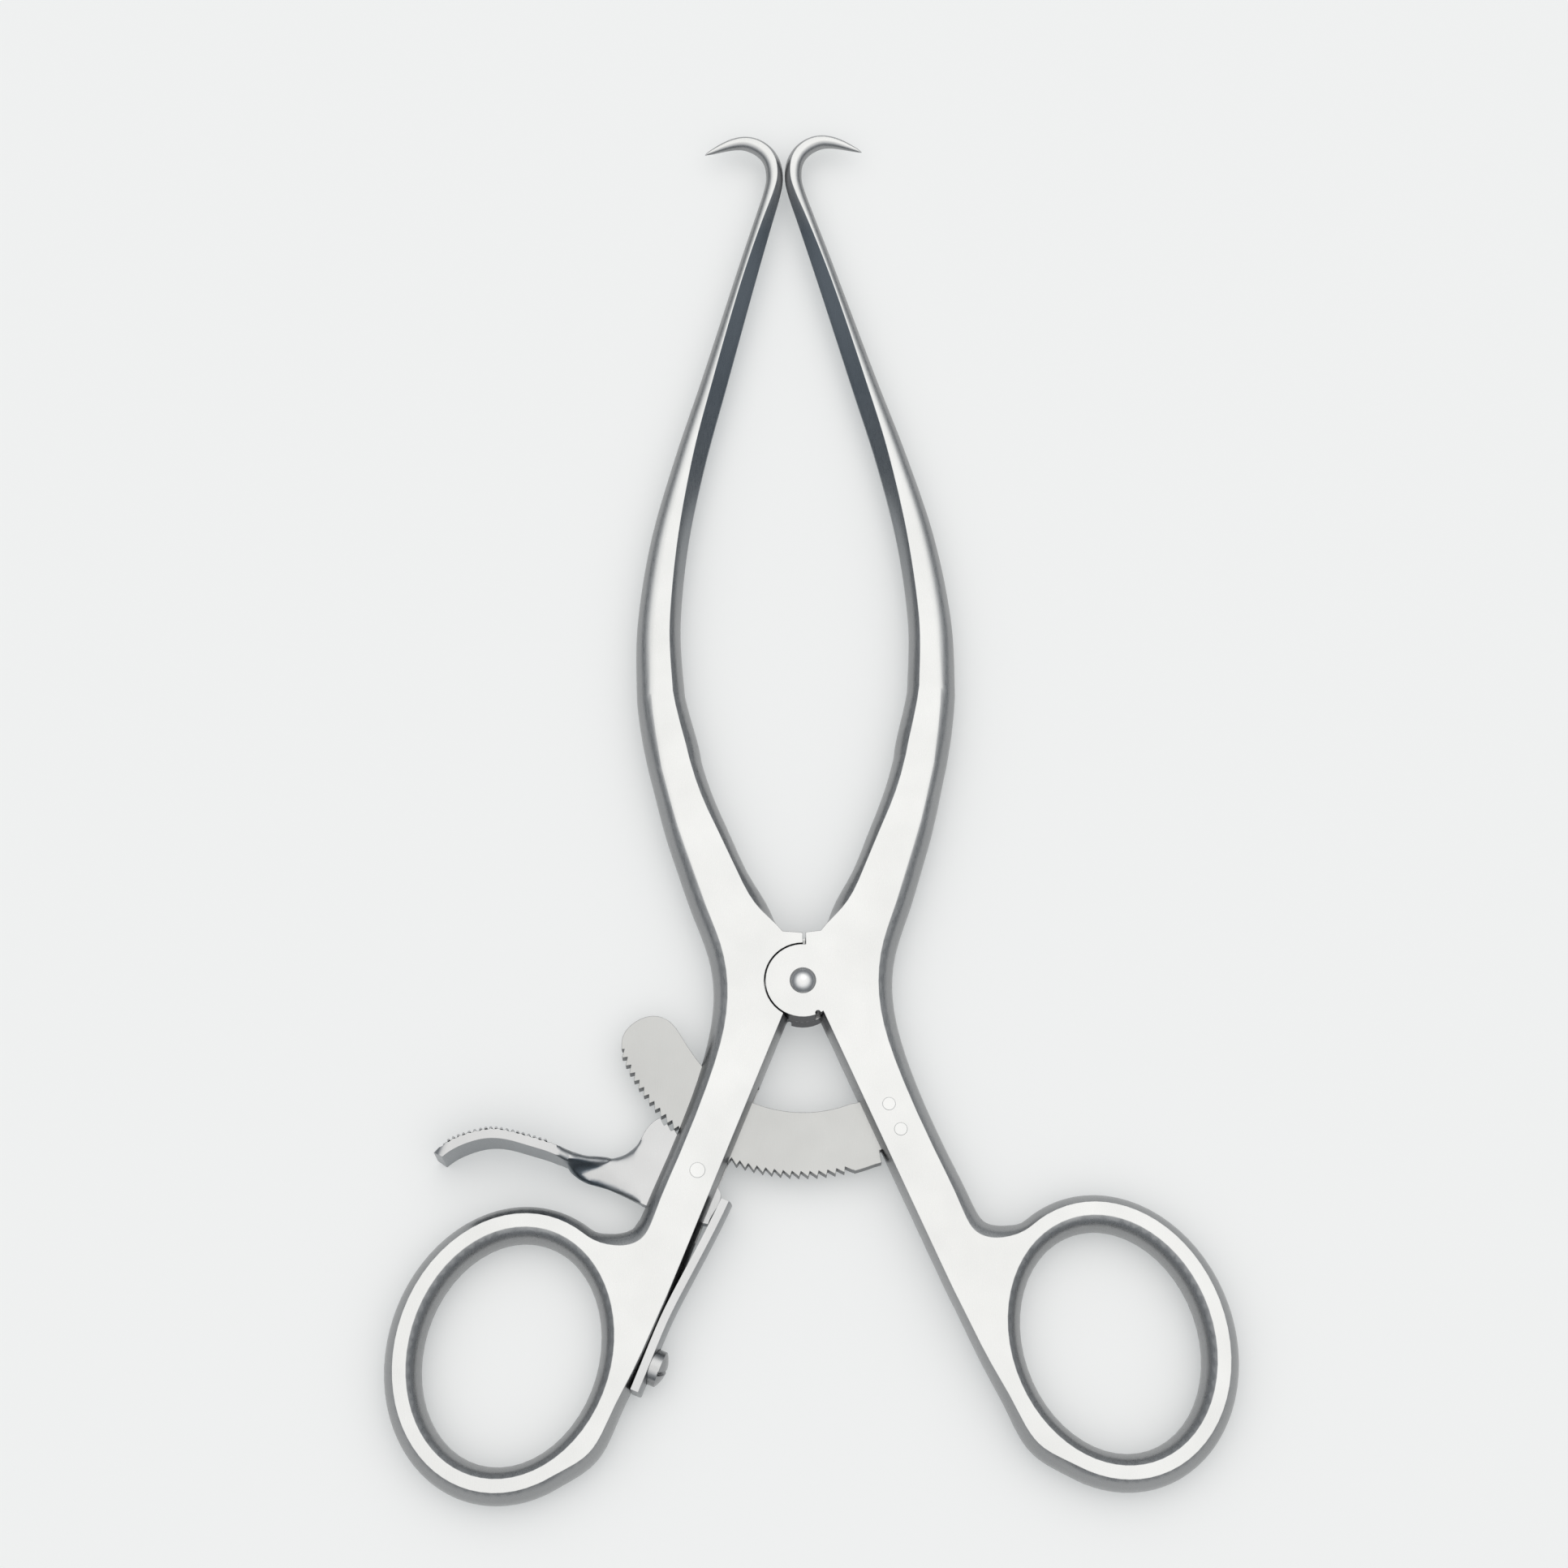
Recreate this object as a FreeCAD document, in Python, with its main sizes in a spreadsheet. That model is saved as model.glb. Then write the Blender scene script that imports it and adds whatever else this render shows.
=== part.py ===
import FreeCAD, Part

import math
import os

import Sketcher

# Self-retaining single hook retractor, closed: two forged arms on a half-lapped rivet joint, finger rings below,
# an outward hook above, and a curved rack that a sprung release lever holds.
# Origin: the rivet's axis on the back faces. +X to the right, +Y towards the hooks, +Z towards the viewer.

doc = FreeCAD.newDocument("single_hook_retractor")
sheet = doc.addObject("Spreadsheet::Sheet", "sizes")

# Driving sizes in millimetres and degrees.
SIZES = [
    ("forging_thickness", 6.0, "front face to back face of joint, handles and rings"),
    ("arm_rise", 118.5, "rivet axis to the foot of the hook's bend"),
    ("arm_bow", 18.35, "how far the arm's middle line bows out"),
    ("arm_width", 6.46, "width of the arm at its widest bow"),
    ("arm_root_lean", 14.0, "outward lean of the arm where it leaves the joint's forging"),
    ("hook_width", 2.15, "width of the hook's round bar at its foot"),
    ("hook_foot_lean", 8.0, "inward lean of the bar at the hook's foot"),
    ("hook_radius", 4.7, "bend radius of the hook's middle line"),
    ("hook_point", 4.6, "length of the hook's straight tapering point"),
    ("hook_point_slope", 25.0, "angle of the point below level"),
    ("hook_tip_width", 0.24, "width of the hook's sharp tip"),
    ("hook_gap", 0.06, "each hook's distance from the middle when closed"),
    ("hub_radius", 4.85, "radius of the joint's half-thickness disc"),
    ("hub_gap", 0.2, "gap between a disc and the recess it turns in"),
    ("lap_gap", 0.04, "gap between the two halves of the lap"),
    ("shoulder_offset", 0.5, "shoulder's distance from the middle, above the disc"),
    ("lip_reach", 0.1, "how far the lip over the disc passes the middle"),
    ("lip_height", 6.4, "height of the lip's top above the rivet axis"),
    ("relief_radius", 0.35, "relief notch between the disc and the handle's inner edge"),
    ("waist", 11.64, "rivet axis to the outline at the joint's waist"),
    ("waist_bulge", 1.88, "bulge of the outer side at the joint and handle"),
    ("handle_angle", 23.0, "angle of a handle's inner edge from the middle line"),
    ("handle_offset", 0.75, "inner edge's distance from the rivet axis"),
    ("handle_width", 7.05, "inner edge to outer outline of a handle"),
    ("handle_inner_bulge", 0.6, "bulge of a handle's inner side"),
    ("crotch_bulge", 2.1, "bulge of the rounded corner between handle and ring"),
    ("ring_below_pin", 29.9, "lever pin to the ring's middle, along the handle"),
    ("ring_offset", 16.3, "rivet axis to the ring's middle, across the handle"),
    ("ring_lean", 16.5, "angle between the ring's long axis and the middle line"),
    ("ring_hole_length", 28.3, "clear length of the finger hole"),
    ("ring_hole_width", 22.0, "clear width of the finger hole"),
    ("ring_rim", 4.75, "width of the ring's rim"),
    ("ring_outer_bulge", 1.3, "bulge of the rim's outer side"),
    ("ring_inner_bulge", 1.75, "bulge of the rim's inner side"),
    ("rivet_radius", 1.3, "radius of the rivet's shank"),
    ("rivet_fit", 0.04, "running clearance of the turning arm on the rivet"),
    ("rivet_head_radius", 1.72, "radius of the rivet's domed head"),
    ("rivet_head_height", 0.95, "height of the domed head"),
    ("rivet_foot_radius", 1.8, "radius of the rivet's foot, peened flush in a countersink"),
    ("rivet_foot_depth", 0.5, "depth of that countersink"),
    ("slot_width", 2.1, "width of the slots sawn through the handles for the rack and lever"),
    ("plate_side_gap", 0.06, "gap between a plate and each wall of its slot"),
    ("rack_tip_radius", 25.3, "rivet axis to the tips of the rack's teeth"),
    ("rack_inner_radius", 17.0, "rivet axis to the rack's inner edge"),
    ("rack_heel_radius", 25.45, "rivet axis to the rack's plain heel beside the last tooth"),
    ("rack_overhang", 48.1, "angle the toothed edge runs on beyond the left handle when closed"),
    ("heel_angle", 9.4, "angle of the plain heel beside the right handle"),
    ("tooth_pitch", 2.645, "angle from one tooth to the next"),
    ("tooth_depth", 0.68, "height of a tooth"),
    ("tooth_land", 0.08, "width of a tooth's flat tip"),
    ("tooth_rake", 16.0, "lean of a tooth's holding face from the radial line"),
    ("tongue_angle", 5.6, "angle the rounded tongue runs on beyond the last tooth"),
    ("tenon_depth", 4.2, "how far the rack's tenon enters the right handle"),
    ("tenon_inner_step", 0.2, "step from the rack's inner edge to its tenon"),
    ("tenon_outer_step", 1.3, "step from the tooth tips in to the tenon"),
    ("tenon_gap", 0.05, "gap around the tenon's edges"),
    ("rack_pin_radius", 0.8, "radius of the two pins that hold the rack"),
    ("rack_pin_depth", 2.6, "pins' distance from the handle's inner edge"),
    ("rack_pin_spacing", 3.6, "distance between the two pins"),
    ("lever_pin_radius", 0.95, "radius of the release lever's pin"),
    ("lever_pin_fit", 0.05, "running clearance of the lever on its pin"),
    ("lever_pin_reach", 2.8, "lever pin's distance below the rack's tooth tips, along the handle"),
    ("lever_pin_depth", 2.5, "lever pin's distance from the handle's inner edge"),
    ("slot_above_rack", 0.15, "least gap between the slot's upper end and the rack's inner edge"),
    ("slot_below_pin", 8.4, "lever pin to the slot's lower end"),
    ("pawl_teeth", 3.0, "number of teeth on the lever"),
    ("pawl_share", 0.6, "depth of the lever's teeth, as a share of the deepest that fit the rack"),
    ("pawl_gap", 0.06, "gap between the lever's and rack's tooth tips when the lever stands clear"),
    ("mesh_gap", 0.045, "gap on each flank of the lever's teeth when they are in the rack"),
    ("lever_reach", 32.0, "lever pin to the thumb pad's free end, across the handle"),
    ("tail_gap", 0.15, "gap between the lever's tail and the leaf spring"),
    ("pad_width", 6.8, "thumb pad's width, back edge level with the back faces"),
    ("pad_thickness", 1.3, "thickness of the thumb pad"),
    ("pad_corner", 1.8, "radius of the thumb pad's corners"),
    ("web_end", 10.8, "lever pin to where the web starts to thicken into the pad"),
    ("pad_root", 5.2, "from there to where the pad has its full width"),
    ("ridge_pitch", 1.0, "spacing of the ridges across the thumb pad"),
    ("ridge_depth", 0.16, "depth of the hollows between ridges"),
    ("leaf_thickness", 1.05, "thickness of the leaf spring at its edges"),
    ("leaf_crown", 0.4, "crown of the leaf's outer side"),
    ("leaf_width", 5.0, "width of the leaf spring"),
    ("leaf_lift", 1.2, "gap between the leaf's free end and the handle"),
    ("leaf_below_pin", 2.1, "lever pin to the leaf's free end, along the handle"),
    ("leaf_seat_gap", 0.02, "gap between the leaf and its seat filed in the handle"),
    ("leaf_length", 26.5, "length of the leaf spring"),
    ("screw_along", 22.6, "leaf's free end to its screw"),
    ("screw_head_radius", 2.3, "radius of the screw's head"),
    ("screw_head_height", 1.35, "height of the head's straight side"),
    ("screw_dome", 0.75, "height of the head's domed end"),
    ("screw_slot_width", 0.6, "width of the driver slot"),
    ("screw_slot_depth", 0.8, "depth of the driver slot"),
    ("screw_shank_radius", 1.0, "radius of the screw's shank"),
    ("screw_shank_depth", 3.0, "length of shank in the handle"),
]
for row, (name, value, meaning) in enumerate(SIZES, start=1):
    sheet.set("A%d" % row, name)
    sheet.set("B%d" % row, str(value))
    sheet.setAlias("B%d" % row, name)
    sheet.set("C%d" % row, meaning)
doc.recompute()


def size(name):
    return float(sheet.get(name))


def vec(x, y, z=0.0):
    return FreeCAD.Vector(x, y, z)


THICK = size("forging_thickness")
MIDDLE = THICK / 2
LEVELS = [0.0, 0.25, 0.5, 0.75, 1.0]

# Handle frame: s runs down the handle from the rivet's axis, d outwards from a line through that axis.
LEAN = math.radians(size("handle_angle"))
DOWN = (math.sin(LEAN), -math.cos(LEAN))
OUT = (math.cos(LEAN), math.sin(LEAN))


# Places along the handle: the middle of the rack, the lever's pin, the leaf's free end and the ring's middle.
RACK_MIDDLE = (size("rack_inner_radius") + size("rack_tip_radius")) / 2
PIN_ALONG = size("rack_tip_radius") + size("lever_pin_reach")
PIN_DEEP = size("handle_offset") + size("lever_pin_depth")
LEAF_START = PIN_ALONG + size("leaf_below_pin")
RING_REACH = PIN_ALONG + size("ring_below_pin")


def on_handle(s, d):
    return (DOWN[0] * s + OUT[0] * d, DOWN[1] * s + OUT[1] * d)


def turned(point, degrees):
    a = math.radians(degrees)
    return (point[0] * math.cos(a) - point[1] * math.sin(a), point[0] * math.sin(a) + point[1] * math.cos(a))


def polar(radius, degrees):
    return turned((radius, 0.0), degrees)


def plane(body, role):
    return next(f for f in body.Origin.OriginFeatures if f.Role == role)


def new_body(label):
    body = doc.addObject("PartDesign::Body", label)
    body.Label = label
    return body


def flat_sketch(body, name, height=None):
    """A sketch parallel to the XY plane; height is an expression of sheet names."""
    sketch = body.newObject("Sketcher::SketchObject", name)
    sketch.AttachmentSupport = (plane(body, "XY_Plane"), [""])
    sketch.MapMode = "FlatFace"
    if height:
        sketch.setExpression("AttachmentOffset.Base.z", height)
    return sketch


def add_loop(sketch, points):
    """Straight edges round a closed list of points."""
    for start, end in zip(points, points[1:] + points[:1]):
        sketch.addGeometry(Part.LineSegment(vec(*start), vec(*end)), False)


def add_circle(sketch, centre, radius):
    """A circle whose radius follows an expression of sheet names."""
    index = sketch.addGeometry(Part.Circle(vec(*centre), vec(0, 0, 1), 1.0), False)
    rule = sketch.addConstraint(Sketcher.Constraint("Radius", index, 1.0))
    sketch.setExpression("Constraints[%d]" % rule, radius)


def pad(body, name, sketch, length):
    feature = body.newObject("PartDesign::Pad", name)
    feature.Profile = sketch
    feature.setExpression("Length", length)
    return feature


def pocket(body, name, sketch, length):
    """A cut that runs up from its sketch."""
    feature = body.newObject("PartDesign::Pocket", name)
    feature.Profile = sketch
    feature.setExpression("Length", length)
    feature.Reversed = True
    return feature


def loft(body, kind, name, sketches):
    feature = body.newObject("PartDesign::" + kind, name)
    feature.Profile = sketches[0]
    feature.Sections = sketches[1:]
    return feature


def set_back(bulge, level, half=None):
    """How far a bulged side lies inside its outermost line, at a level from 0 (back face) to 1 (front)."""
    half = half or THICK / 2
    radius = (half ** 2 + bulge ** 2) / (2 * bulge)
    off = abs(level - 0.5) * 2 * half
    return radius - math.sqrt(radius ** 2 - off ** 2)


def spline(points, start=None, end=None):
    """A smooth curve through points, with its directions at both ends where they are given."""
    curve = Part.BSplineCurve()
    if start:
        curve.interpolate(Points=[vec(*p) for p in points], InitialTangent=vec(*start), FinalTangent=vec(*end))
    else:
        curve.interpolate(Points=[vec(*p) for p in points])
    return curve


# The arm's middle line and section, from the joint's forging up to the hook's bend. Each row: height as a share
# of arm_rise, bow as a share of arm_bow, width as a share of arm_width, thickness as a share of the forging's,
# and the bulges of the inner and outer side as shares of half the width.
ARM_ROWS = [
    (0.253, 0.884, 1.107, 1.000, 0.45, 0.47),
    (0.338, 0.987, 1.000, 0.955, 0.48, 0.62),
    (0.422, 0.997, 0.906, 0.883, 0.48, 0.78),
    (0.523, 0.916, 0.790, 0.783, 0.55, 0.88),
    (0.625, 0.760, 0.650, 0.683, 0.76, 0.92),
    (0.726, 0.572, 0.540, 0.583, 0.90, 0.92),
    (0.827, 0.379, 0.464, 0.500, 0.92, 0.92),
    (0.920, 0.203, 0.400, 0.425, 0.92, 0.92),
]
HOOK_TURNS = [0.0, 28.0, 56.0, 84.0, 112.0]
HOOK_SHARES = [1.0, 0.96, 0.90, 0.84, 0.76]


def arm_line():
    """Stations of the whole arm: point, direction, width, thickness, inner bulge, outer bulge."""
    rise = size("arm_rise")
    bow = size("arm_bow")
    wide = size("arm_width")
    points = [(x * bow, y * rise) for y, x, _, _, _, _ in ARM_ROWS]
    stations = []
    lean = math.radians(size("arm_root_lean"))
    for index, row in enumerate(ARM_ROWS):
        before = points[max(index - 1, 0)]
        after = points[index + 1] if index + 1 < len(points) else hook_place(0.0)[0]
        run = (after[0] - before[0], after[1] - before[1])
        if index == 0:
            run = (math.sin(lean), math.cos(lean))
        length = math.hypot(*run)
        width = row[2] * wide
        stations.append((points[index], (run[0] / length, run[1] / length), width, row[3] * THICK,
                         row[4] * width / 2, row[5] * width / 2))
    neck = size("hook_width")
    for turn, share in zip(HOOK_TURNS, HOOK_SHARES):
        place, way = hook_place(turn)
        width = neck * share
        stations.append((place, way, width, width, 0.45 * width, 0.45 * width))
    place, way = hook_place(HOOK_TURNS[-1])
    down = -math.radians(size("hook_point_slope"))
    aim = (math.cos(down), math.sin(down))
    point = size("hook_point")
    for share, width in ((0.45, 0.55 * neck), (1.0, size("hook_tip_width"))):
        end = (place[0] + aim[0] * point * share, place[1] + aim[1] * point * share)
        stations.append((end, aim, width, width, 0.45 * width, 0.45 * width))
    return stations


def hook_place(turn):
    """Middle line of the hook's bend after it has turned by so many degrees: point, direction."""
    radius = size("hook_radius")
    lean = size("hook_foot_lean")
    centre = (size("hook_gap") + size("hook_width") / 2 + radius,
              size("arm_rise") + radius * math.sin(math.radians(lean)))
    angle = math.radians(180.0 + lean - turn)
    place = (centre[0] + radius * math.cos(angle), centre[1] + radius * math.sin(angle))
    return place, (math.sin(angle), -math.cos(angle))


def forging_outline(level):
    """Closed outline of the right arm's joint, handle and ring at one level, as curves."""
    place, way, width, _, inner_bulge, outer_bulge = arm_line()[0]
    right = (way[1], -way[0])
    waist = size("waist")
    waist_bulge = size("waist_bulge")
    corner_bulge = size("crotch_bulge")
    reach = RING_REACH
    back = size("handle_offset") + size("handle_width")
    shift = size("handle_width") * 0.05
    low = place[1]
    flare = place[0] + width / 2 - waist
    outside = [
        ((place[0] + right[0] * width / 2, place[1] + right[1] * width / 2), outer_bulge),
        ((waist + 0.716 * flare, 0.667 * low), (outer_bulge + waist_bulge) / 2),
        ((waist + 0.526 * flare, 0.50 * low), waist_bulge),
        ((waist + 0.327 * flare, 0.333 * low), waist_bulge),
        ((waist + 0.078 * flare, 0.137 * low), waist_bulge),
        ((waist, -1.0), waist_bulge),
        ((waist * 1.032, -5.0), waist_bulge),
        (on_handle(0.265 * reach, back + shift), 0.93 * waist_bulge),
        (on_handle(0.376 * reach, back), 0.88 * waist_bulge),
        (on_handle(0.488 * reach, back), 0.88 * waist_bulge),
        (on_handle(0.583 * reach, back + shift / 3), 0.92 * waist_bulge),
        (on_handle(0.628 * reach, back + shift / 2), waist_bulge),
        (on_handle(0.650 * reach, back + 1.4 * shift), corner_bulge),
        (on_handle(0.666 * reach, back + 4.1 * shift), corner_bulge),
        (on_handle(0.679 * reach, back + 8.6 * shift), 0.9 * corner_bulge),
    ]
    centre, long_way, wide_way = ring_axes()
    rim = size("ring_rim")
    ring_long = size("ring_hole_length") / 2 + rim - set_back(size("ring_outer_bulge"), level)
    ring_wide = size("ring_hole_width") / 2 + rim - set_back(size("ring_outer_bulge"), level)

    def on_ring(degrees):
        a = math.radians(degrees)
        along = ring_long * math.cos(a)
        across = ring_wide * math.sin(a)
        point = (centre[0] + long_way[0] * along + wide_way[0] * across,
                 centre[1] + long_way[1] * along + wide_way[1] * across)
        run = (-long_way[0] * ring_long * math.sin(a) + wide_way[0] * ring_wide * math.cos(a),
               -long_way[1] * ring_long * math.sin(a) + wide_way[1] * ring_wide * math.cos(a))
        return point, run

    ring_start, start_run = on_ring(-19.0)
    ring_end, end_run = on_ring(220.0)
    places = [p for p, _ in outside] + [ring_start]
    shifted = []
    for index, (point, bulge) in enumerate(outside):
        before = places[max(index - 1, 0)]
        after = places[index + 1]
        run = (after[0] - before[0], after[1] - before[1])
        if index == 0:
            run = (-way[0], -way[1])
        length = math.hypot(*run)
        inward = (run[1] / length, -run[0] / length)
        depth = set_back(bulge, level)
        shifted.append((point[0] + inward[0] * depth, point[1] + inward[1] * depth))
    outer = shifted + [ring_start]

    edge = size("handle_offset")
    inner_bulge_low = size("handle_inner_bulge")
    ring_bulge = size("ring_outer_bulge")
    inside = []
    for share, extra, bulge in ((1.14, 1.65, 0.9 * ring_bulge), (1.038, 0.85, 0.7 * ring_bulge),
                                (0.934, 0.35, 1.2 * inner_bulge_low), (0.809, 0.1, inner_bulge_low),
                                (0.69, 0.0, inner_bulge_low)):
        d = edge + extra - bulge + set_back(bulge, level)
        inside.append(on_handle(share * reach, d))
    top = on_handle(size("hub_radius") - 0.25, edge - inner_bulge_low + set_back(inner_bulge_low, level))
    lip = size("lip_height")
    corner = (-size("lip_reach"), top[1])
    lip_end = (-size("lip_reach"), lip)
    lip_foot = (0.39 * lip, 1.04 * lip)
    valley = [lip_foot]
    for x, y, bulge in ((0.246, 0.333, inner_bulge), (0.413, 0.50, inner_bulge), (0.546, 0.667, inner_bulge)):
        valley.append((x * place[0] + set_back(bulge, level), y * low))
    depth = set_back(inner_bulge, level)
    valley.append((place[0] - right[0] * (width / 2 - depth), place[1] - right[1] * (width / 2 - depth)))
    return {
        "outer": (outer, (-way[0], -way[1]), start_run),
        "ring": (ring_start, ring_end, centre, ring_long, ring_wide),
        "inner": ([ring_end] + inside, end_run, (-DOWN[0], -DOWN[1])),
        "straight": [inside[-1], top, corner, lip_end, lip_foot],
        "valley": (valley, (0.6, 0.8), way),
        "cut": (valley[-1], outer[0]),
    }


def ring_axes():
    lean = math.radians(size("ring_lean"))
    centre = on_handle(RING_REACH, size("ring_offset"))
    return centre, (-math.sin(lean), math.cos(lean)), (math.cos(lean), math.sin(lean))


def mirrored(side, point):
    return (side * point[0], point[1])


def ellipse(side, centre, long_half, wide_half):
    """An ellipse on a ring's axes."""
    _, long_way, _ = ring_axes()
    middle = mirrored(side, centre)
    along = mirrored(side, long_way)
    across = (-along[1], along[0])
    major = vec(middle[0] + along[0] * long_half, middle[1] + along[1] * long_half)
    minor = vec(middle[0] + across[0] * wide_half, middle[1] + across[1] * wide_half)
    return Part.Ellipse(major, minor, vec(*middle))


def free_sketch(body, name, placement):
    sketch = body.newObject("Sketcher::SketchObject", name)
    sketch.Placement = placement
    return sketch


def level_sketch(body, name, height):
    return free_sketch(body, name, FreeCAD.Placement(vec(0, 0, height), FreeCAD.Rotation()))


def forging(label, side):
    """One arm as it leaves the forge: joint, handle and ring, finger hole, blade and hook."""
    body = new_body(label)
    levels = []
    for level in LEVELS:
        outline = forging_outline(level)
        sketch = level_sketch(body, "%s_outline_%d" % (label, level * 100), level * THICK)
        for name in ("outer", "inner", "valley"):
            points, start, end = outline[name]
            curve = spline([mirrored(side, p) for p in points], mirrored(side, start), mirrored(side, end))
            sketch.addGeometry(curve, False)
        start, end, centre, long_half, wide_half = outline["ring"]
        rim = ellipse(side, centre, long_half, wide_half)
        first = rim.parameter(vec(*mirrored(side, end)))
        last = rim.parameter(vec(*mirrored(side, start)))
        if side < 0:
            first, last = last, first
        sketch.addGeometry(Part.ArcOfEllipse(rim, first, last), False)
        chain = [mirrored(side, p) for p in outline["straight"]]
        for a, b in list(zip(chain, chain[1:])) + [[mirrored(side, p) for p in outline["cut"]]]:
            sketch.addGeometry(Part.LineSegment(vec(*a), vec(*b)), False)
        levels.append(sketch)
    loft(body, "AdditiveLoft", label + "_blank", levels)
    holes = []
    centre, _, _ = ring_axes()
    for level in LEVELS:
        wider = set_back(size("ring_inner_bulge"), level)
        sketch = level_sketch(body, "%s_finger_%d" % (label, level * 100), level * THICK)
        hole = ellipse(side, centre, size("ring_hole_length") / 2 + wider, size("ring_hole_width") / 2 + wider)
        sketch.addGeometry(hole, False)
        holes.append(sketch)
    loft(body, "SubtractiveLoft", label + "_finger_hole", holes)
    sections = []
    for index, (place, way, width, thick, inner, outer) in enumerate(arm_line()):
        across = mirrored(side, (way[1], -way[0]))
        rotation = FreeCAD.Rotation(vec(*across), vec(0, 0, 1), vec(0, 0, 1).cross(vec(*across)) * -1, "XYZ")
        at = mirrored(side, place)
        placement = FreeCAD.Placement(vec(at[0], at[1], MIDDLE), rotation)
        sketch = free_sketch(body, "%s_section_%d" % (label, index), placement)
        half = thick / 2
        low = -width / 2 + inner
        high = width / 2 - outer
        sketch.addGeometry(Part.LineSegment(vec(low, -half), vec(high, -half)), False)
        sketch.addGeometry(Part.Arc(vec(high, -half), vec(width / 2, 0), vec(high, half)), False)
        sketch.addGeometry(Part.LineSegment(vec(high, half), vec(low, half)), False)
        sketch.addGeometry(Part.Arc(vec(low, half), vec(-width / 2, 0), vec(low, -half)), False)
        sections.append(sketch)
    loft(body, "AdditiveLoft", label + "_blade", sections)
    return body


def box_in_handle(side, s0, s1, d0, d1):
    return [mirrored(side, on_handle(s, d)) for s, d in ((s0, d0), (s1, d0), (s1, d1), (s0, d1))]


def cut_loop(body, name, points, base, length):
    sketch = flat_sketch(body, name + "_outline", base)
    add_loop(sketch, points)
    return pocket(body, name, sketch, length)


def cut_round(body, name, centres, radius, base, length):
    sketch = flat_sketch(body, name + "_outline", base)
    for centre in centres:
        add_circle(sketch, centre, radius)
    return pocket(body, name, sketch, length)


WHOLE = "sizes.forging_thickness"
BELOW_LAP = "sizes.forging_thickness / 2 - sizes.lap_gap / 2"
ABOVE_LAP = "sizes.forging_thickness / 2 + sizes.lap_gap / 2"


def lap_joint(body, side):
    """Half-lapped joint: a disc on the arm's own half, a round recess for the other arm's disc."""
    label = body.Label
    own, other = (ABOVE_LAP, "0") if side > 0 else ("0", BELOW_LAP)
    shoulder = BELOW_LAP if side > 0 else "0"
    cut_round(body, label + "_recess", [(0, 0)], "sizes.hub_radius + sizes.hub_gap", other, ABOVE_LAP)
    top = size("lip_height") + 2
    edge = size("shoulder_offset")
    corner = [mirrored(side, p) for p in ((-2, 0), (edge, 0), (edge, top), (-2, top))]
    cut_loop(body, label + "_shoulder", corner, shoulder, ABOVE_LAP)
    sketch = flat_sketch(body, label + "_disc_outline", own)
    add_circle(sketch, (0, 0), "sizes.hub_radius")
    pad(body, label + "_disc", sketch, BELOW_LAP)
    notch = mirrored(side, on_handle(size("hub_radius") - 0.1, 0.0))
    cut_round(body, label + "_relief", [notch], "sizes.relief_radius", own, BELOW_LAP)


SLOT_BASE = "sizes.forging_thickness / 2 - sizes.slot_width / 2"
PLATE_BASE = "sizes.forging_thickness / 2 - sizes.slot_width / 2 + sizes.plate_side_gap"
PLATE_THICK = "sizes.slot_width - 2 * sizes.plate_side_gap"

# Right arm: forging, joint, blind slot for the rack's tenon and the two pin holes through it.
right_arm = forging("right_arm", 1)
lap_joint(right_arm, 1)
cut_round(right_arm, "right_arm_rivet_hole", [(0, 0)], "sizes.rivet_radius + sizes.rivet_fit", "0", WHOLE)
tenon_low = size("rack_inner_radius") + size("tenon_inner_step")
tenon_high = size("rack_tip_radius") - size("tenon_outer_step")
tenon_end = size("handle_offset") + size("tenon_depth")
gap = size("tenon_gap")
slot = box_in_handle(1, tenon_low - gap, tenon_high + gap, -2, tenon_end + gap)
cut_loop(right_arm, "tenon_slot", slot, SLOT_BASE, "sizes.slot_width")
pin_line = size("handle_offset") + size("rack_pin_depth")
rack_pin_places = [on_handle(RACK_MIDDLE + shift * size("rack_pin_spacing") / 2, pin_line) for shift in (-1, 1)]
cut_round(right_arm, "rack_pin_holes", rack_pin_places, "sizes.rack_pin_radius", "0", WHOLE)

# Left arm: the mirrored forging, countersunk for the rivet's foot, slotted for rack and lever, with the lever
# pin's hole and, on its inner edge, a flat seat and a hole for the leaf spring and its screw.
left_arm = forging("left_arm", -1)
lap_joint(left_arm, -1)
cut_round(left_arm, "left_arm_rivet_hole", [(0, 0)], "sizes.rivet_radius", "0", WHOLE)
outside = size("handle_offset") + size("handle_width") * 1.06
slot_top = math.sqrt(size("rack_inner_radius") ** 2 - outside ** 2) - size("slot_above_rack")
slot = box_in_handle(-1, slot_top, PIN_ALONG + size("slot_below_pin"), -2, outside + 2)
cut_loop(left_arm, "lever_slot", slot, SLOT_BASE, "sizes.slot_width")
lever_pin_place = mirrored(-1, on_handle(PIN_ALONG, PIN_DEEP))
cut_round(left_arm, "lever_pin_hole", [lever_pin_place], "sizes.lever_pin_radius", "0", WHOLE)


def across_handle(body, name, s, d):
    """A sketch facing away from the left handle's inner edge, its middle at a place in the handle frame."""
    place = mirrored(-1, on_handle(s, d))
    outward = vec(OUT[0], -OUT[1])
    rotation = FreeCAD.Rotation(outward.cross(vec(0, 0, 1)) * -1, vec(0, 0, 1), outward)
    return free_sketch(body, name, FreeCAD.Placement(vec(place[0], place[1], MIDDLE), rotation))


LEAF_LEVELS = [MIDDLE + shift * size("leaf_width") / 2 for shift in (-1.0, -0.5, 0.0, 0.5, 1.0)]
LEAF_SEAT = size("handle_offset") - 0.15
LEAF_ROWS = [(0.0, 1.22), (0.2, 0.92), (0.43, 0.42), (0.62, 0.06), (0.8, 0.0), (1.0, 0.0)]


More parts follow.
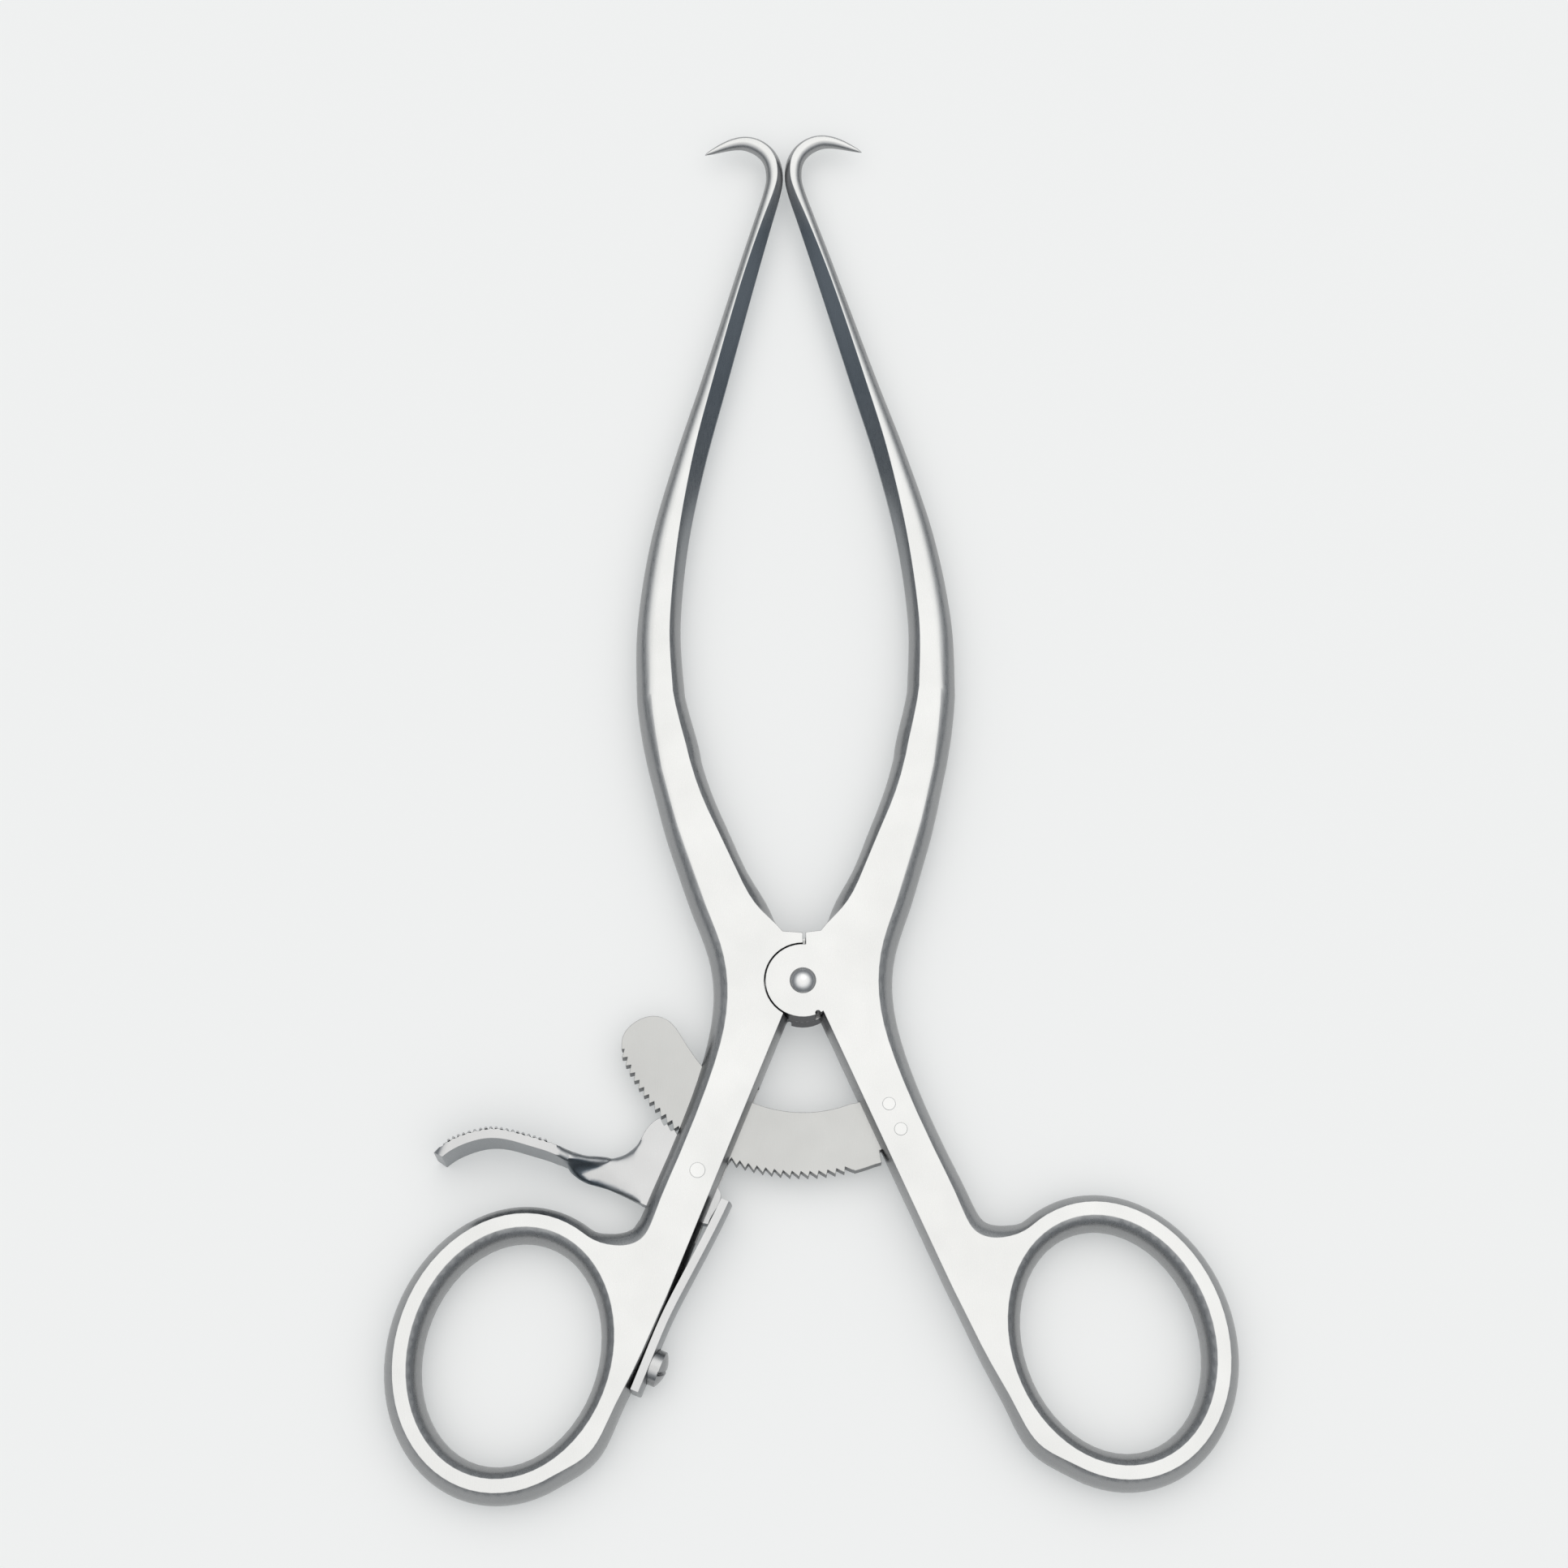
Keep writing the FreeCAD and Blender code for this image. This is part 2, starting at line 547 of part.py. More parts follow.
def leaf_side(away):
    """The leaf's inner side in the handle frame, or a line that far outside it."""
    long = size("leaf_length")
    lift = size("leaf_lift")
    return [(LEAF_START + share * long, LEAF_SEAT - lift * rise - away) for share, rise in LEAF_ROWS]


screw_along = LEAF_START + size("screw_along")
seat_gap = size("leaf_seat_gap")
seat = leaf_side(-seat_gap)[1:]
seat.append((seat[-1][0] + 0.6, seat[-1][1]))
sketch = flat_sketch(left_arm, "leaf_seat_outline")
seat_line = [mirrored(-1, on_handle(s, d)) for s, d in seat]
sketch.addGeometry(spline(seat_line), False)
seat_back = [mirrored(-1, on_handle(s, -4)) for s in (seat[-1][0], seat[0][0])]
for start, end in ((seat_line[-1], seat_back[0]), seat_back, (seat_back[1], seat_line[0])):
    sketch.addGeometry(Part.LineSegment(vec(*start), vec(*end)), False)
pocket(left_arm, "leaf_seat", sketch, WHOLE)
sketch = across_handle(left_arm, "screw_hole_outline", screw_along, LEAF_SEAT)
add_circle(sketch, (0, 0), "sizes.screw_shank_radius")
hole = left_arm.newObject("PartDesign::Pocket", "screw_hole")
hole.Profile = sketch
hole.setExpression("Length", "sizes.screw_shank_depth + sizes.leaf_seat_gap")

# Leaf spring: screwed down at its lower end, its free end bearing on the release lever's tail.
leaf_spring = new_body("leaf_spring")
levels = []
for number, height in enumerate(LEAF_LEVELS):
    sketch = level_sketch(leaf_spring, "leaf_outline_%d" % number, height)
    crown = size("leaf_crown") - set_back(size("leaf_crown"), number / 4, size("leaf_width") / 2)
    sides = []
    for line in (leaf_side(0.0), leaf_side(size("leaf_thickness") + crown)[::-1]):
        points = [mirrored(-1, on_handle(s, d)) for s, d in line]
        sketch.addGeometry(spline(points), False)
        sides.append(points)
    for start, end in ((sides[0][-1], sides[1][0]), (sides[1][-1], sides[0][0])):
        sketch.addGeometry(Part.LineSegment(vec(*start), vec(*end)), False)
    levels.append(sketch)
loft(leaf_spring, "AdditiveLoft", "leaf", levels)
head_seat = LEAF_SEAT - size("leaf_thickness")
for name, radius, length, flip in (("spot_face", "sizes.screw_head_radius + 0.1", "sizes.leaf_crown + 0.2", True),
                                   ("leaf_hole", "sizes.screw_shank_radius", "sizes.leaf_thickness + 0.2", False)):
    sketch = across_handle(leaf_spring, name + "_outline", screw_along, head_seat)
    add_circle(sketch, (0, 0), radius)
    cut = leaf_spring.newObject("PartDesign::Pocket", name)
    cut.Profile = sketch
    cut.setExpression("Length", length)
    cut.Reversed = flip


def lathe(body, name, profile):
    """A body of revolution about Z from corners (radius, height) and arcs (radius, height, through radius, height)."""
    sketch = body.newObject("Sketcher::SketchObject", name + "_profile")
    sketch.AttachmentSupport = (plane(body, "XZ_Plane"), [""])
    sketch.MapMode = "FlatFace"
    for start, end in zip(profile, profile[1:] + profile[:1]):
        if len(end) == 4:
            arc = Part.Arc(vec(start[0], start[1]), vec(end[2], end[3]), vec(end[0], end[1]))
            sketch.addGeometry(arc, False)
        else:
            sketch.addGeometry(Part.LineSegment(vec(start[0], start[1]), vec(end[0], end[1])), False)
    turn = body.newObject("PartDesign::Revolution", name)
    turn.Profile = sketch
    turn.ReferenceAxis = (sketch, ["V_Axis"])
    turn.Angle = 360
    return turn


def dome(radius, base, rise):
    """End of a domed top: the arc from its rim to its crown."""
    sphere = (radius ** 2 + rise ** 2) / (2 * rise)
    half = math.asin(radius / sphere) / 2
    return (0.0, base + rise, sphere * math.sin(half), base + rise - sphere * (1 - math.cos(half)))


# Spring screw: turned in its own frame, axis +Z out of the head, then set square to the handle's inner edge.
spring_screw = new_body("spring_screw")
head = size("screw_head_radius")
side_height = size("screw_head_height")
shank = size("screw_shank_radius")
tail = -(size("leaf_thickness") + seat_gap + size("screw_shank_depth"))
lathe(spring_screw, "screw", [(0.0, tail), (shank, tail), (shank, 0.0), (head, 0.0), (head, side_height),
                              dome(head, side_height, size("screw_dome"))])
half_slot = size("screw_slot_width") / 2
cut_loop(spring_screw, "driver_slot", [(-9, -half_slot), (9, -half_slot), (9, half_slot), (-9, half_slot)],
         "sizes.screw_head_height + sizes.screw_dome - sizes.screw_slot_depth", "sizes.screw_slot_depth + 1")
place = mirrored(-1, on_handle(screw_along, head_seat))
spring_screw.Placement = FreeCAD.Placement(vec(place[0], place[1], MIDDLE),
                                           FreeCAD.Rotation(vec(0, 0, 1), vec(OUT[0], -OUT[1])))

# Joint rivet: foot peened flush in the left arm's countersink, shank a running fit in the right arm's disc.
pivot_rivet = new_body("pivot_rivet")
foot = size("rivet_foot_radius")
stem = size("rivet_radius")
brim = size("rivet_head_radius")
seat_height = THICK + size("lap_gap")
lathe(pivot_rivet, "rivet", [(0.0, 0.0), (foot, 0.0), (stem, size("rivet_foot_depth")), (stem, seat_height),
                             (brim, seat_height), dome(brim, seat_height, size("rivet_head_height"))])
sink = left_arm.newObject("Sketcher::SketchObject", "countersink_profile")
sink.AttachmentSupport = (plane(left_arm, "XZ_Plane"), [""])
sink.MapMode = "FlatFace"
add_loop(sink, [(0.0, 0.0), (foot, 0.0), (stem, size("rivet_foot_depth")), (0.0, size("rivet_foot_depth"))])
countersink = left_arm.newObject("PartDesign::Groove", "countersink")
countersink.Profile = sink
countersink.ReferenceAxis = (sink, ["V_Axis"])
countersink.Angle = 360

# Rack: a flat curved bar about the rivet's axis, with saw teeth on its outer edge, a rounded tongue at its free
# end, a plain heel and a tenon let into the right handle.
TIP = size("rack_tip_radius")
PITCH = size("tooth_pitch")
DEPTH = size("tooth_depth")
OPENING = math.radians(PITCH) * TIP - size("tooth_land")
RAKE = DEPTH * math.tan(math.radians(size("tooth_rake")))
RAMP = (OPENING - RAKE) / DEPTH
RIGHT_LINE = size("handle_angle") - 90
LEFT_LINE = -90 - size("handle_angle")
FIRST = LEFT_LINE - size("rack_overhang")
HEEL = RIGHT_LINE - size("heel_angle")


def along(degrees):
    """Direction of travel anticlockwise about the rivet at this angle."""
    return (-math.sin(math.radians(degrees)), math.cos(math.radians(degrees)))


def at_rack(share, degrees):
    """A point across the rack's width: 0 at its inner edge, 1 at the tooth tips."""
    inner = size("rack_inner_radius")
    return polar(inner + share * (TIP - inner), degrees)


def arc_about_rivet(radius, first, last):
    return Part.ArcOfCircle(Part.Circle(vec(0, 0), vec(0, 0, 1), radius), math.radians(first), math.radians(last))


ratchet_rack = new_body("ratchet_rack")
sketch = flat_sketch(ratchet_rack, "rack_outline", PLATE_BASE)
tongue = size("tongue_angle")
rows = [(1.0, 0.43), (0.954, -0.05), (0.90, -0.51), (0.61, -1.29), (0.324, -1.354), (0.141, -0.832),
        (0.02, 0.9), (0.0, 2.6)]
end_line = [at_rack(share, FIRST + turn * tongue) for share, turn in rows]
turn_in = along(FIRST - 19.0)
inner_from = FIRST + rows[-1][1] * tongue
sketch.addGeometry(spline(end_line, (-turn_in[0], -turn_in[1]), along(inner_from)), False)
inner_to = RIGHT_LINE - 3.0
sketch.addGeometry(arc_about_rivet(size("rack_inner_radius"), inner_from, inner_to), False)
sketch.addGeometry(arc_about_rivet(TIP, FIRST + rows[0][1] * tongue, HEEL), False)
sketch.addGeometry(arc_about_rivet(size("rack_heel_radius"), HEEL + 0.3, RIGHT_LINE - 3.1), False)
shoulder = -0.1
chain = [at_rack(0.0, inner_to), on_handle(tenon_low, shoulder), on_handle(tenon_low, tenon_end),
         on_handle(tenon_high, tenon_end), on_handle(tenon_high, shoulder), at_rack(1.03, RIGHT_LINE - 1.1),
         polar(size("rack_heel_radius"), RIGHT_LINE - 3.1)]
for start, end in list(zip(chain, chain[1:])) + [(polar(TIP, HEEL), polar(size("rack_heel_radius"), HEEL + 0.3))]:
    sketch.addGeometry(Part.LineSegment(vec(*start), vec(*end)), False)
pad(ratchet_rack, "rack_bar", sketch, PLATE_THICK)
cut_round(ratchet_rack, "rack_bar_pin_holes", rack_pin_places, "sizes.rack_pin_radius", "0", WHOLE)
sketch = flat_sketch(ratchet_rack, "gullet_outline")
above = 0.3
gullet_corners = [(TIP - DEPTH, RAKE), (TIP + above, OPENING + above * RAMP), (TIP + above, -above * RAKE / DEPTH)]
add_loop(sketch, [polar(radius, FIRST + math.degrees(shift / TIP)) for radius, shift in gullet_corners])
gullet = pocket(ratchet_rack, "gullet", sketch, WHOLE)
teeth = ratchet_rack.newObject("PartDesign::PolarPattern", "teeth")
teeth.Originals = [gullet]
teeth.Axis = (plane(ratchet_rack, "Z_Axis"), [""])
count = "floor((2 * sizes.handle_angle + sizes.rack_overhang - sizes.heel_angle) / sizes.tooth_pitch)"
teeth.setExpression("Occurrences", count)
teeth.setExpression("Angle", "(%s - 1) * sizes.tooth_pitch * 1 deg" % count)
ratchet_rack.Tip = teeth

# The rack's two pins, flush with both faces of the right handle, and the release lever's pin in the left one.
rack_pins = new_body("rack_pins")
for number, centre in enumerate(rack_pin_places):
    sketch = flat_sketch(rack_pins, "rack_pin_outline_%d" % number)
    add_circle(sketch, centre, "sizes.rack_pin_radius")
    pad(rack_pins, "rack_pin_%d" % number, sketch, WHOLE)
lever_pin = new_body("lever_pin")
sketch = flat_sketch(lever_pin, "lever_pin_outline")
add_circle(sketch, lever_pin_place, "sizes.lever_pin_radius")
pad(lever_pin, "lever_pin_shank", sketch, WHOLE)

# Release lever, drawn in the handle frame from its pin: teeth above and outside the pin, a thumb pad further out,
# a tail inside that the leaf spring presses. Its teeth are laid out in mesh with the rack, then swung clear.
PIN = lever_pin_place


def from_pin(s, d):
    return mirrored(-1, on_handle(PIN_ALONG + s, PIN_DEEP + d))


def about_pin(point, degrees):
    x, y = turned((point[0] - PIN[0], point[1] - PIN[1]), degrees)
    return (x + PIN[0], y + PIN[1])


def swing(point, angle):
    """How fast a point of the lever moves outward and back along the rack, per radian about the pin."""
    reach = (point[0] - PIN[0], point[1] - PIN[1])
    speed = (-reach[1], reach[0])
    forward = along(angle)
    outward = (forward[1], -forward[0])
    return speed[0] * outward[0] + speed[1] * outward[1], -(speed[0] * forward[0] + speed[1] * forward[1])


def pawl_line():
    """Corners of the lever's teeth in mesh, from the free end's side, and the swing in degrees that clears them."""
    gap_across = size("mesh_gap")
    gap_ramp = gap_across * math.hypot(1, RAMP)
    root = 0.06
    first = round((LEFT_LINE - 24.3 - FIRST) / PITCH)
    corners = []
    needed = 0.0
    for number in range(first, first + int(size("pawl_teeth"))):
        start = FIRST + number * PITCH
        out, back = swing(polar(TIP - DEPTH / 2, start), start)
        lean = max(back / out + 0.08, RAKE / DEPTH)
        depth = size("pawl_share") * (OPENING - gap_ramp - gap_across) / (lean + RAMP)
        shifts = [(TIP + root, gap_across - root * lean), (TIP - depth, gap_across + depth * lean),
                  (TIP + root, OPENING - gap_ramp + root * RAMP)]
        corners += [polar(radius, start + math.degrees(shift / TIP)) for radius, shift in shifts]
        needed = max(needed, math.degrees((depth + size("pawl_gap")) / out))
    return corners, needed


corners, mesh_swing = pawl_line()
teeth_line = [about_pin(point, mesh_swing) for point in corners[1:]]
release_lever = new_body("release_lever")
sketch = flat_sketch(release_lever, "lever_outline")

# The lever's lines along the handle and across it from the pin, as shares of lever_reach.
WEB_TOP = [(-0.114, 0.251), (-0.068, 0.262), (-0.037, 0.266), (0.011, 0.29), (0.042, 0.321),
           (0.067, 0.369), (0.094, 0.425)]
PAD_TOP = [(0.108, 0.48), (0.113, 0.541), (0.118, 0.613), (0.129, 0.725), (0.147, 0.813),
           (0.176, 0.867), (0.231, 0.935), (0.271, 0.969), (0.325, 1)]
WEB_UNDER = [(0.164, 0.494), (0.184, 0.48), (0.202, 0.45), (0.21, 0.397), (0.206, 0.339),
             (0.2, 0.255), (0.197, 0.154), (0.197, 0.031), (0.184, -0.062)]
REACH = size("lever_reach")
web_top = [teeth_line[0]] + [from_pin(s * REACH, d * REACH) for s, d in WEB_TOP + PAD_TOP[:1]]
pad_top = [from_pin(s * REACH, d * REACH) for s, d in PAD_TOP]
web_under = [from_pin(s * REACH, d * REACH) for s, d in WEB_UNDER]


def tail_face(s):
    """The tail's inner side, standing off the leaf, at a distance down the handle from the pin."""
    (s0, d0), (s1, d1) = leaf_side(0.0)[:2]
    return from_pin(s, d0 + (d1 - d0) * (PIN_ALONG + s - s0) / (s1 - s0) + size("tail_gap") - PIN_DEEP)


deep = size("lever_pin_depth")
tail_in = [tail_face(size("leaf_below_pin") + shift * deep) for shift in (1.4, 0.7, 0.0)]
tail_in += [from_pin(s * deep, d * deep) for s, d in ((0.45, -1.42), (0.2, -1.12), (-0.36, -0.88))]
beside_rack = [about_pin(polar(TIP + rise * DEPTH, LEFT_LINE - turn), mesh_swing)
               for rise, turn in ((1.1, 6.5), (0.5, 12.0), (0.37, 15.2))]
pad_face = spline(pad_top).toShape()
pitch = size("ridge_pitch")
plain = 0.07 * REACH
ridges = int((pad_face.Length - plain - 0.5) / pitch)
stations = [pad_face.getParameterByLength(plain + pitch * number) for number in range(ridges + 1)]
plain_top = spline(pad_top)
plain_top.segment(pad_face.FirstParameter, stations[0])


def under_face(parameter, depth):
    """A point square below the pad's top line."""
    point = pad_face.valueAt(parameter)
    run = pad_face.tangentAt(parameter)
    return (point.x - run.y * depth, point.y + run.x * depth)


sketch.addGeometry(spline(web_top), False)
sketch.addGeometry(plain_top, False)
for start, end in zip(stations, stations[1:]):
    hollow = under_face((start + end) / 2, size("ridge_depth"))
    sketch.addGeometry(Part.Arc(pad_face.valueAt(start), vec(*hollow), pad_face.valueAt(end)), False)
thin = size("pad_thickness")
span = pad_face.LastParameter - pad_face.FirstParameter
pad_under = [under_face(pad_face.FirstParameter + share * span, thin)
             for share in (0.98, 0.88, 0.76, 0.62, 0.48, 0.3, 0.16)]
pad_under.append(web_under[0])
tail_line = tail_in + beside_rack
for points in (pad_under, web_under, tail_line):
    sketch.addGeometry(spline(points), False)
last = pad_face.valueAt(stations[-1])
pad_tip = (pad_top[-1][0], pad_top[-1][1])
chain = [(last.x, last.y), pad_tip, pad_under[0]]
for start, end in list(zip(chain, chain[1:])) + [(web_under[-1], tail_line[0])]:
    sketch.addGeometry(Part.LineSegment(vec(*start), vec(*end)), False)
chain = [tail_line[-1]] + teeth_line[::-1]
for start, end in zip(chain, chain[1:]):
    sketch.addGeometry(Part.LineSegment(vec(*start), vec(*end)), False)
pad(release_lever, "lever_blank", sketch, "sizes.pad_width")

# The web is milled down to the slot's plate on both faces, and swells into the pad by a concave sweep.
web_end = size("web_end")
milled = [from_pin(s, d) for s, d in ((-REACH, web_end), (REACH, web_end), (REACH, -REACH), (-REACH, -REACH))]
plate_low = MIDDLE - size("slot_width") / 2 + size("plate_side_gap")
plate_high = MIDDLE + size("slot_width") / 2 - size("plate_side_gap")
cut_loop(release_lever, "web_back", milled, "-1", PLATE_BASE + " + 1")
cut_loop(release_lever, "web_front", milled, PLATE_BASE + " + " + PLATE_THICK, "sizes.pad_width")


def sweep_section(name, d, level, away, under):
    """The waste beside the web at one station: outside a concave quarter round from the flange to the web."""
    place = from_pin(0.0, d)
    sideways = vec(-DOWN[0], DOWN[1])
    rotation = FreeCAD.Rotation(sideways, vec(0, 0, 1), sideways.cross(vec(0, 0, 1)))
    sketch = free_sketch(release_lever, name, FreeCAD.Placement(vec(place[0], place[1], 0), rotation))
    rise = abs(away - level)
    sign = 1 if away > level else -1
    lean = rise * math.sin(math.radians(45))
    middle = vec(under + rise - lean, away - sign * lean)
    outer = away + sign * size("pad_width")
    chain = [(under + rise, level), (REACH, level), (REACH, outer), (-REACH, outer), (-REACH, away), (under, away)]
    for start, end in zip(chain, chain[1:]):
        sketch.addGeometry(Part.LineSegment(vec(*start), vec(*end)), False)
    sketch.addGeometry(Part.Arc(vec(under, away), middle, vec(under + rise, level)), False)
    return sketch


width = size("pad_width")
for side_name, level, away in (("front", plate_high, width), ("back", plate_low, 0.0)):
    near = level + math.copysign(0.05, away - level)
    sections = [sweep_section("sweep_%s_root" % side_name, web_end, level, near, 0.1 * REACH),
                sweep_section("sweep_%s_pad" % side_name, web_end + size("pad_root"), level, away, 0.156 * REACH)]
    loft(release_lever, "SubtractiveLoft", "sweep_" + side_name, sections)
cut_round(release_lever, "lever_bore", [PIN], "sizes.lever_pin_radius + sizes.lever_pin_fit", "0", "sizes.pad_width")

# The pad's two corners, rounded seen square to its face.
corner = size("pad_corner")
end = 1.01 * REACH
away = vec(-OUT[0], OUT[1])
rotation = FreeCAD.Rotation(away, vec(0, 0, 1), away.cross(vec(0, 0, 1)))
sketch = free_sketch(release_lever, "pad_corners_outline", FreeCAD.Placement(vec(PIN[0], PIN[1], 0), rotation))
slant = corner * (1 - math.sin(math.radians(45)))
for low, far in ((0.0, -1.0), (width, width + 1.0)):
    turn = math.copysign(corner, width / 2 - low)
    bend = math.copysign(slant, width / 2 - low)
    chain = [(end, low + turn), (end + 1, low + turn), (end + 1, far), (end - corner, far), (end - corner, low)]
    for start, stop in zip(chain, chain[1:]):
        sketch.addGeometry(Part.LineSegment(vec(*start), vec(*stop)), False)
    sketch.addGeometry(Part.Arc(vec(end - corner, low), vec(end - slant, low + bend), vec(end, low + turn)), False)
rounding = release_lever.newObject("PartDesign::Pocket", "pad_corners")
rounding.Profile = sketch
rounding.setExpression("Length", "2 * sizes.lever_reach")
rounding.Midplane = True

doc.recompute()
for item in doc.Objects:
    if "Invalid" in item.State or "Error" in item.State:
        raise RuntimeError("%s did not build: %s" % (item.Name, item.State))
os.makedirs("parts", exist_ok=True)
for item in doc.Objects:
    if item.TypeId == "PartDesign::Body":
        if item.Shape.isNull() or not item.Shape.isValid():
            raise RuntimeError("%s has no sound shape" % item.Label)
        item.Shape.exportStep("parts/%s.step" % item.Label)
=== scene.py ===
import math

import bmesh
import bpy
from mathutils import Matrix, Vector


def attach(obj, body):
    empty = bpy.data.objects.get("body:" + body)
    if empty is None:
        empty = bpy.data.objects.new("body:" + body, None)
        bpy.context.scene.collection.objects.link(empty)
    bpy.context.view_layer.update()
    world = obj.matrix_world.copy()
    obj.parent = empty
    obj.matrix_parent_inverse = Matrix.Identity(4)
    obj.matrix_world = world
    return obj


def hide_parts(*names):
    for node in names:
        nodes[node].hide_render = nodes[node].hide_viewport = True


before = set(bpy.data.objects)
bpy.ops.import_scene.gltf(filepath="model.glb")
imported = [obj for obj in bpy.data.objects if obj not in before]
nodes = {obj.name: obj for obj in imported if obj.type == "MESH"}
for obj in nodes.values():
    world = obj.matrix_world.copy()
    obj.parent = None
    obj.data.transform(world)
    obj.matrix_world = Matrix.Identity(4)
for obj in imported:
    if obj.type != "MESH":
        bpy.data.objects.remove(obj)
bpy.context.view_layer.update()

# The table: a plain near-white sheet that the closed retractor lies on with its flat back faces,
# wide enough to fill every view. It is matt, so it only takes the instrument's soft contact shadow.
TABLE_HALF = 6.0
TABLE_DROP = 0.0001
TABLE_TONE = (0.945, 0.93, 0.91, 1)
TABLE_GLOW = (0.84, 0.885, 0.90, 1)
TABLE_GLOW_SHARE = 0.3
corners = [(x * TABLE_HALF, y * TABLE_HALF, 0) for x, y in ((-1, -1), (1, -1), (1, 1), (-1, 1))]
table_mesh = bpy.data.meshes.new("table_top")
table_mesh.from_pydata(corners, [], [(0, 1, 2, 3)])
table_top = bpy.data.objects.new("table_top", table_mesh)
table_top.location.z = -TABLE_DROP
bpy.context.collection.objects.link(table_top)
table_paint = bpy.data.materials.new("table_white")
table_paint.use_nodes = True
table_nodes = table_paint.node_tree.nodes
table_links = table_paint.node_tree.links
table_shader = table_nodes["Principled BSDF"]
table_shader.inputs["Base Color"].default_value = TABLE_TONE
table_shader.inputs["Roughness"].default_value = 0.9
table_shader.inputs["Specular IOR Level"].default_value = 0.1
# A little light of its own keeps the sheet pale where it is seen, direct or in the steel, and in shadow too.
table_glow = table_nodes.new("ShaderNodeEmission")
table_glow.inputs["Color"].default_value = TABLE_GLOW
table_ray = table_nodes.new("ShaderNodeLightPath")
table_seen = table_ray.outputs["Is Camera Ray"]
for kind in ("Is Glossy Ray", "Is Transmission Ray"):
    either = table_nodes.new("ShaderNodeMath")
    either.operation = "ADD"
    either.use_clamp = True
    table_links.new(table_seen, either.inputs[0])
    table_links.new(table_ray.outputs[kind], either.inputs[1])
    table_seen = either.outputs["Value"]
table_share = table_nodes.new("ShaderNodeMath")
table_share.operation = "MULTIPLY"
table_share.inputs[1].default_value = TABLE_GLOW_SHARE
table_links.new(table_seen, table_share.inputs[0])
table_mix = table_nodes.new("ShaderNodeMixShader")
table_links.new(table_share.outputs["Value"], table_mix.inputs["Fac"])
table_links.new(table_shader.outputs["BSDF"], table_mix.inputs[1])
table_links.new(table_glow.outputs["Emission"], table_mix.inputs[2])
table_links.new(table_mix.outputs["Shader"], table_nodes["Material Output"].inputs["Surface"])
table_mesh.materials.append(table_paint)

# The light: a white tent over the table, bright overhead and grey towards the horizon, as one large soft light
# in a plain room gives, so that flat steel looks nearly white and steep sides look darker. A weak round softbox
# above the hooks adds the faint shadows.
TENT = [(0.0, (0.22, 0.235, 0.25)), (0.3, (0.24, 0.255, 0.27)), (0.55, (0.55, 0.565, 0.58)),
        (0.72, (0.92, 0.93, 0.94)), (0.88, (1.0, 1.0, 1.0))]
TENT_STRENGTH = 1.22
SOFTBOX_WIDTH = 0.9
SOFTBOX_ENERGY = 0.35
SOFTBOX_PLACE = (0.1, 0.42, 1.0)
SOFTBOX_AIM = Vector((0, 0.03, 0))


def fill_ramp(ramp, stops):
    """Gives a colour ramp its stops, each a place along it and a colour."""
    while len(ramp.elements) < len(stops):
        ramp.elements.new(1.0)
    for stop, (place, colour) in zip(ramp.elements, stops):
        stop.position = place
        stop.color = (*colour, 1)


room = bpy.data.worlds.new("light_tent")
room.use_nodes = True
room_nodes = room.node_tree.nodes
room_links = room.node_tree.links
sky_way = room_nodes.new("ShaderNodeTexCoord")
sky_parts = room_nodes.new("ShaderNodeSeparateXYZ")
sky_ramp = room_nodes.new("ShaderNodeValToRGB")
room_links.new(sky_way.outputs["Generated"], sky_parts.inputs[0])
room_links.new(sky_parts.outputs["Z"], sky_ramp.inputs["Fac"])
room_links.new(sky_ramp.outputs["Color"], room_nodes["Background"].inputs["Color"])
fill_ramp(sky_ramp.color_ramp, TENT)
room_nodes["Background"].inputs["Strength"].default_value = TENT_STRENGTH
bpy.context.scene.world = room

overhead = bpy.data.lights.new("overhead_softbox", "AREA")
overhead.shape = "DISK"
overhead.size = SOFTBOX_WIDTH
overhead.energy = SOFTBOX_ENERGY
overhead_lamp = bpy.data.objects.new("overhead_softbox", overhead)
overhead_lamp.location = SOFTBOX_PLACE
overhead_lamp.rotation_euler = (SOFTBOX_AIM - overhead_lamp.location).to_track_quat("-Z", "Y").to_euler()
bpy.context.collection.objects.link(overhead_lamp)

# The camera: held above the handles and tipped 18 degrees towards the hooks, with a long lens, so that
# the instrument fills the picture's height. Its angle comes from half a picture over the lens's length in pixels.
HALF_PICTURE = 966
LENS_LENGTH = 4000
CAMERA_PLACE = (-0.00466, -0.10563, 0.4135)
camera = bpy.data.cameras.new("camera")
camera.sensor_fit = "HORIZONTAL"
camera.angle = 2 * math.atan(HALF_PICTURE / LENS_LENGTH)
camera_rig = bpy.data.objects.new("camera", camera)
look = Vector((0.00647, 0.30895, -0.95106)).normalized()
sideways = Vector((0.99978, -0.02094, 0.0)).normalized()
upwards = sideways.cross(look)
camera_turn = Matrix((sideways, upwards, -look)).transposed().to_4x4()
camera_rig.matrix_world = Matrix.Translation(CAMERA_PLACE) @ camera_turn
bpy.context.collection.objects.link(camera_rig)
bpy.context.scene.camera = camera_rig
bpy.context.scene.view_settings.view_transform = "Standard"

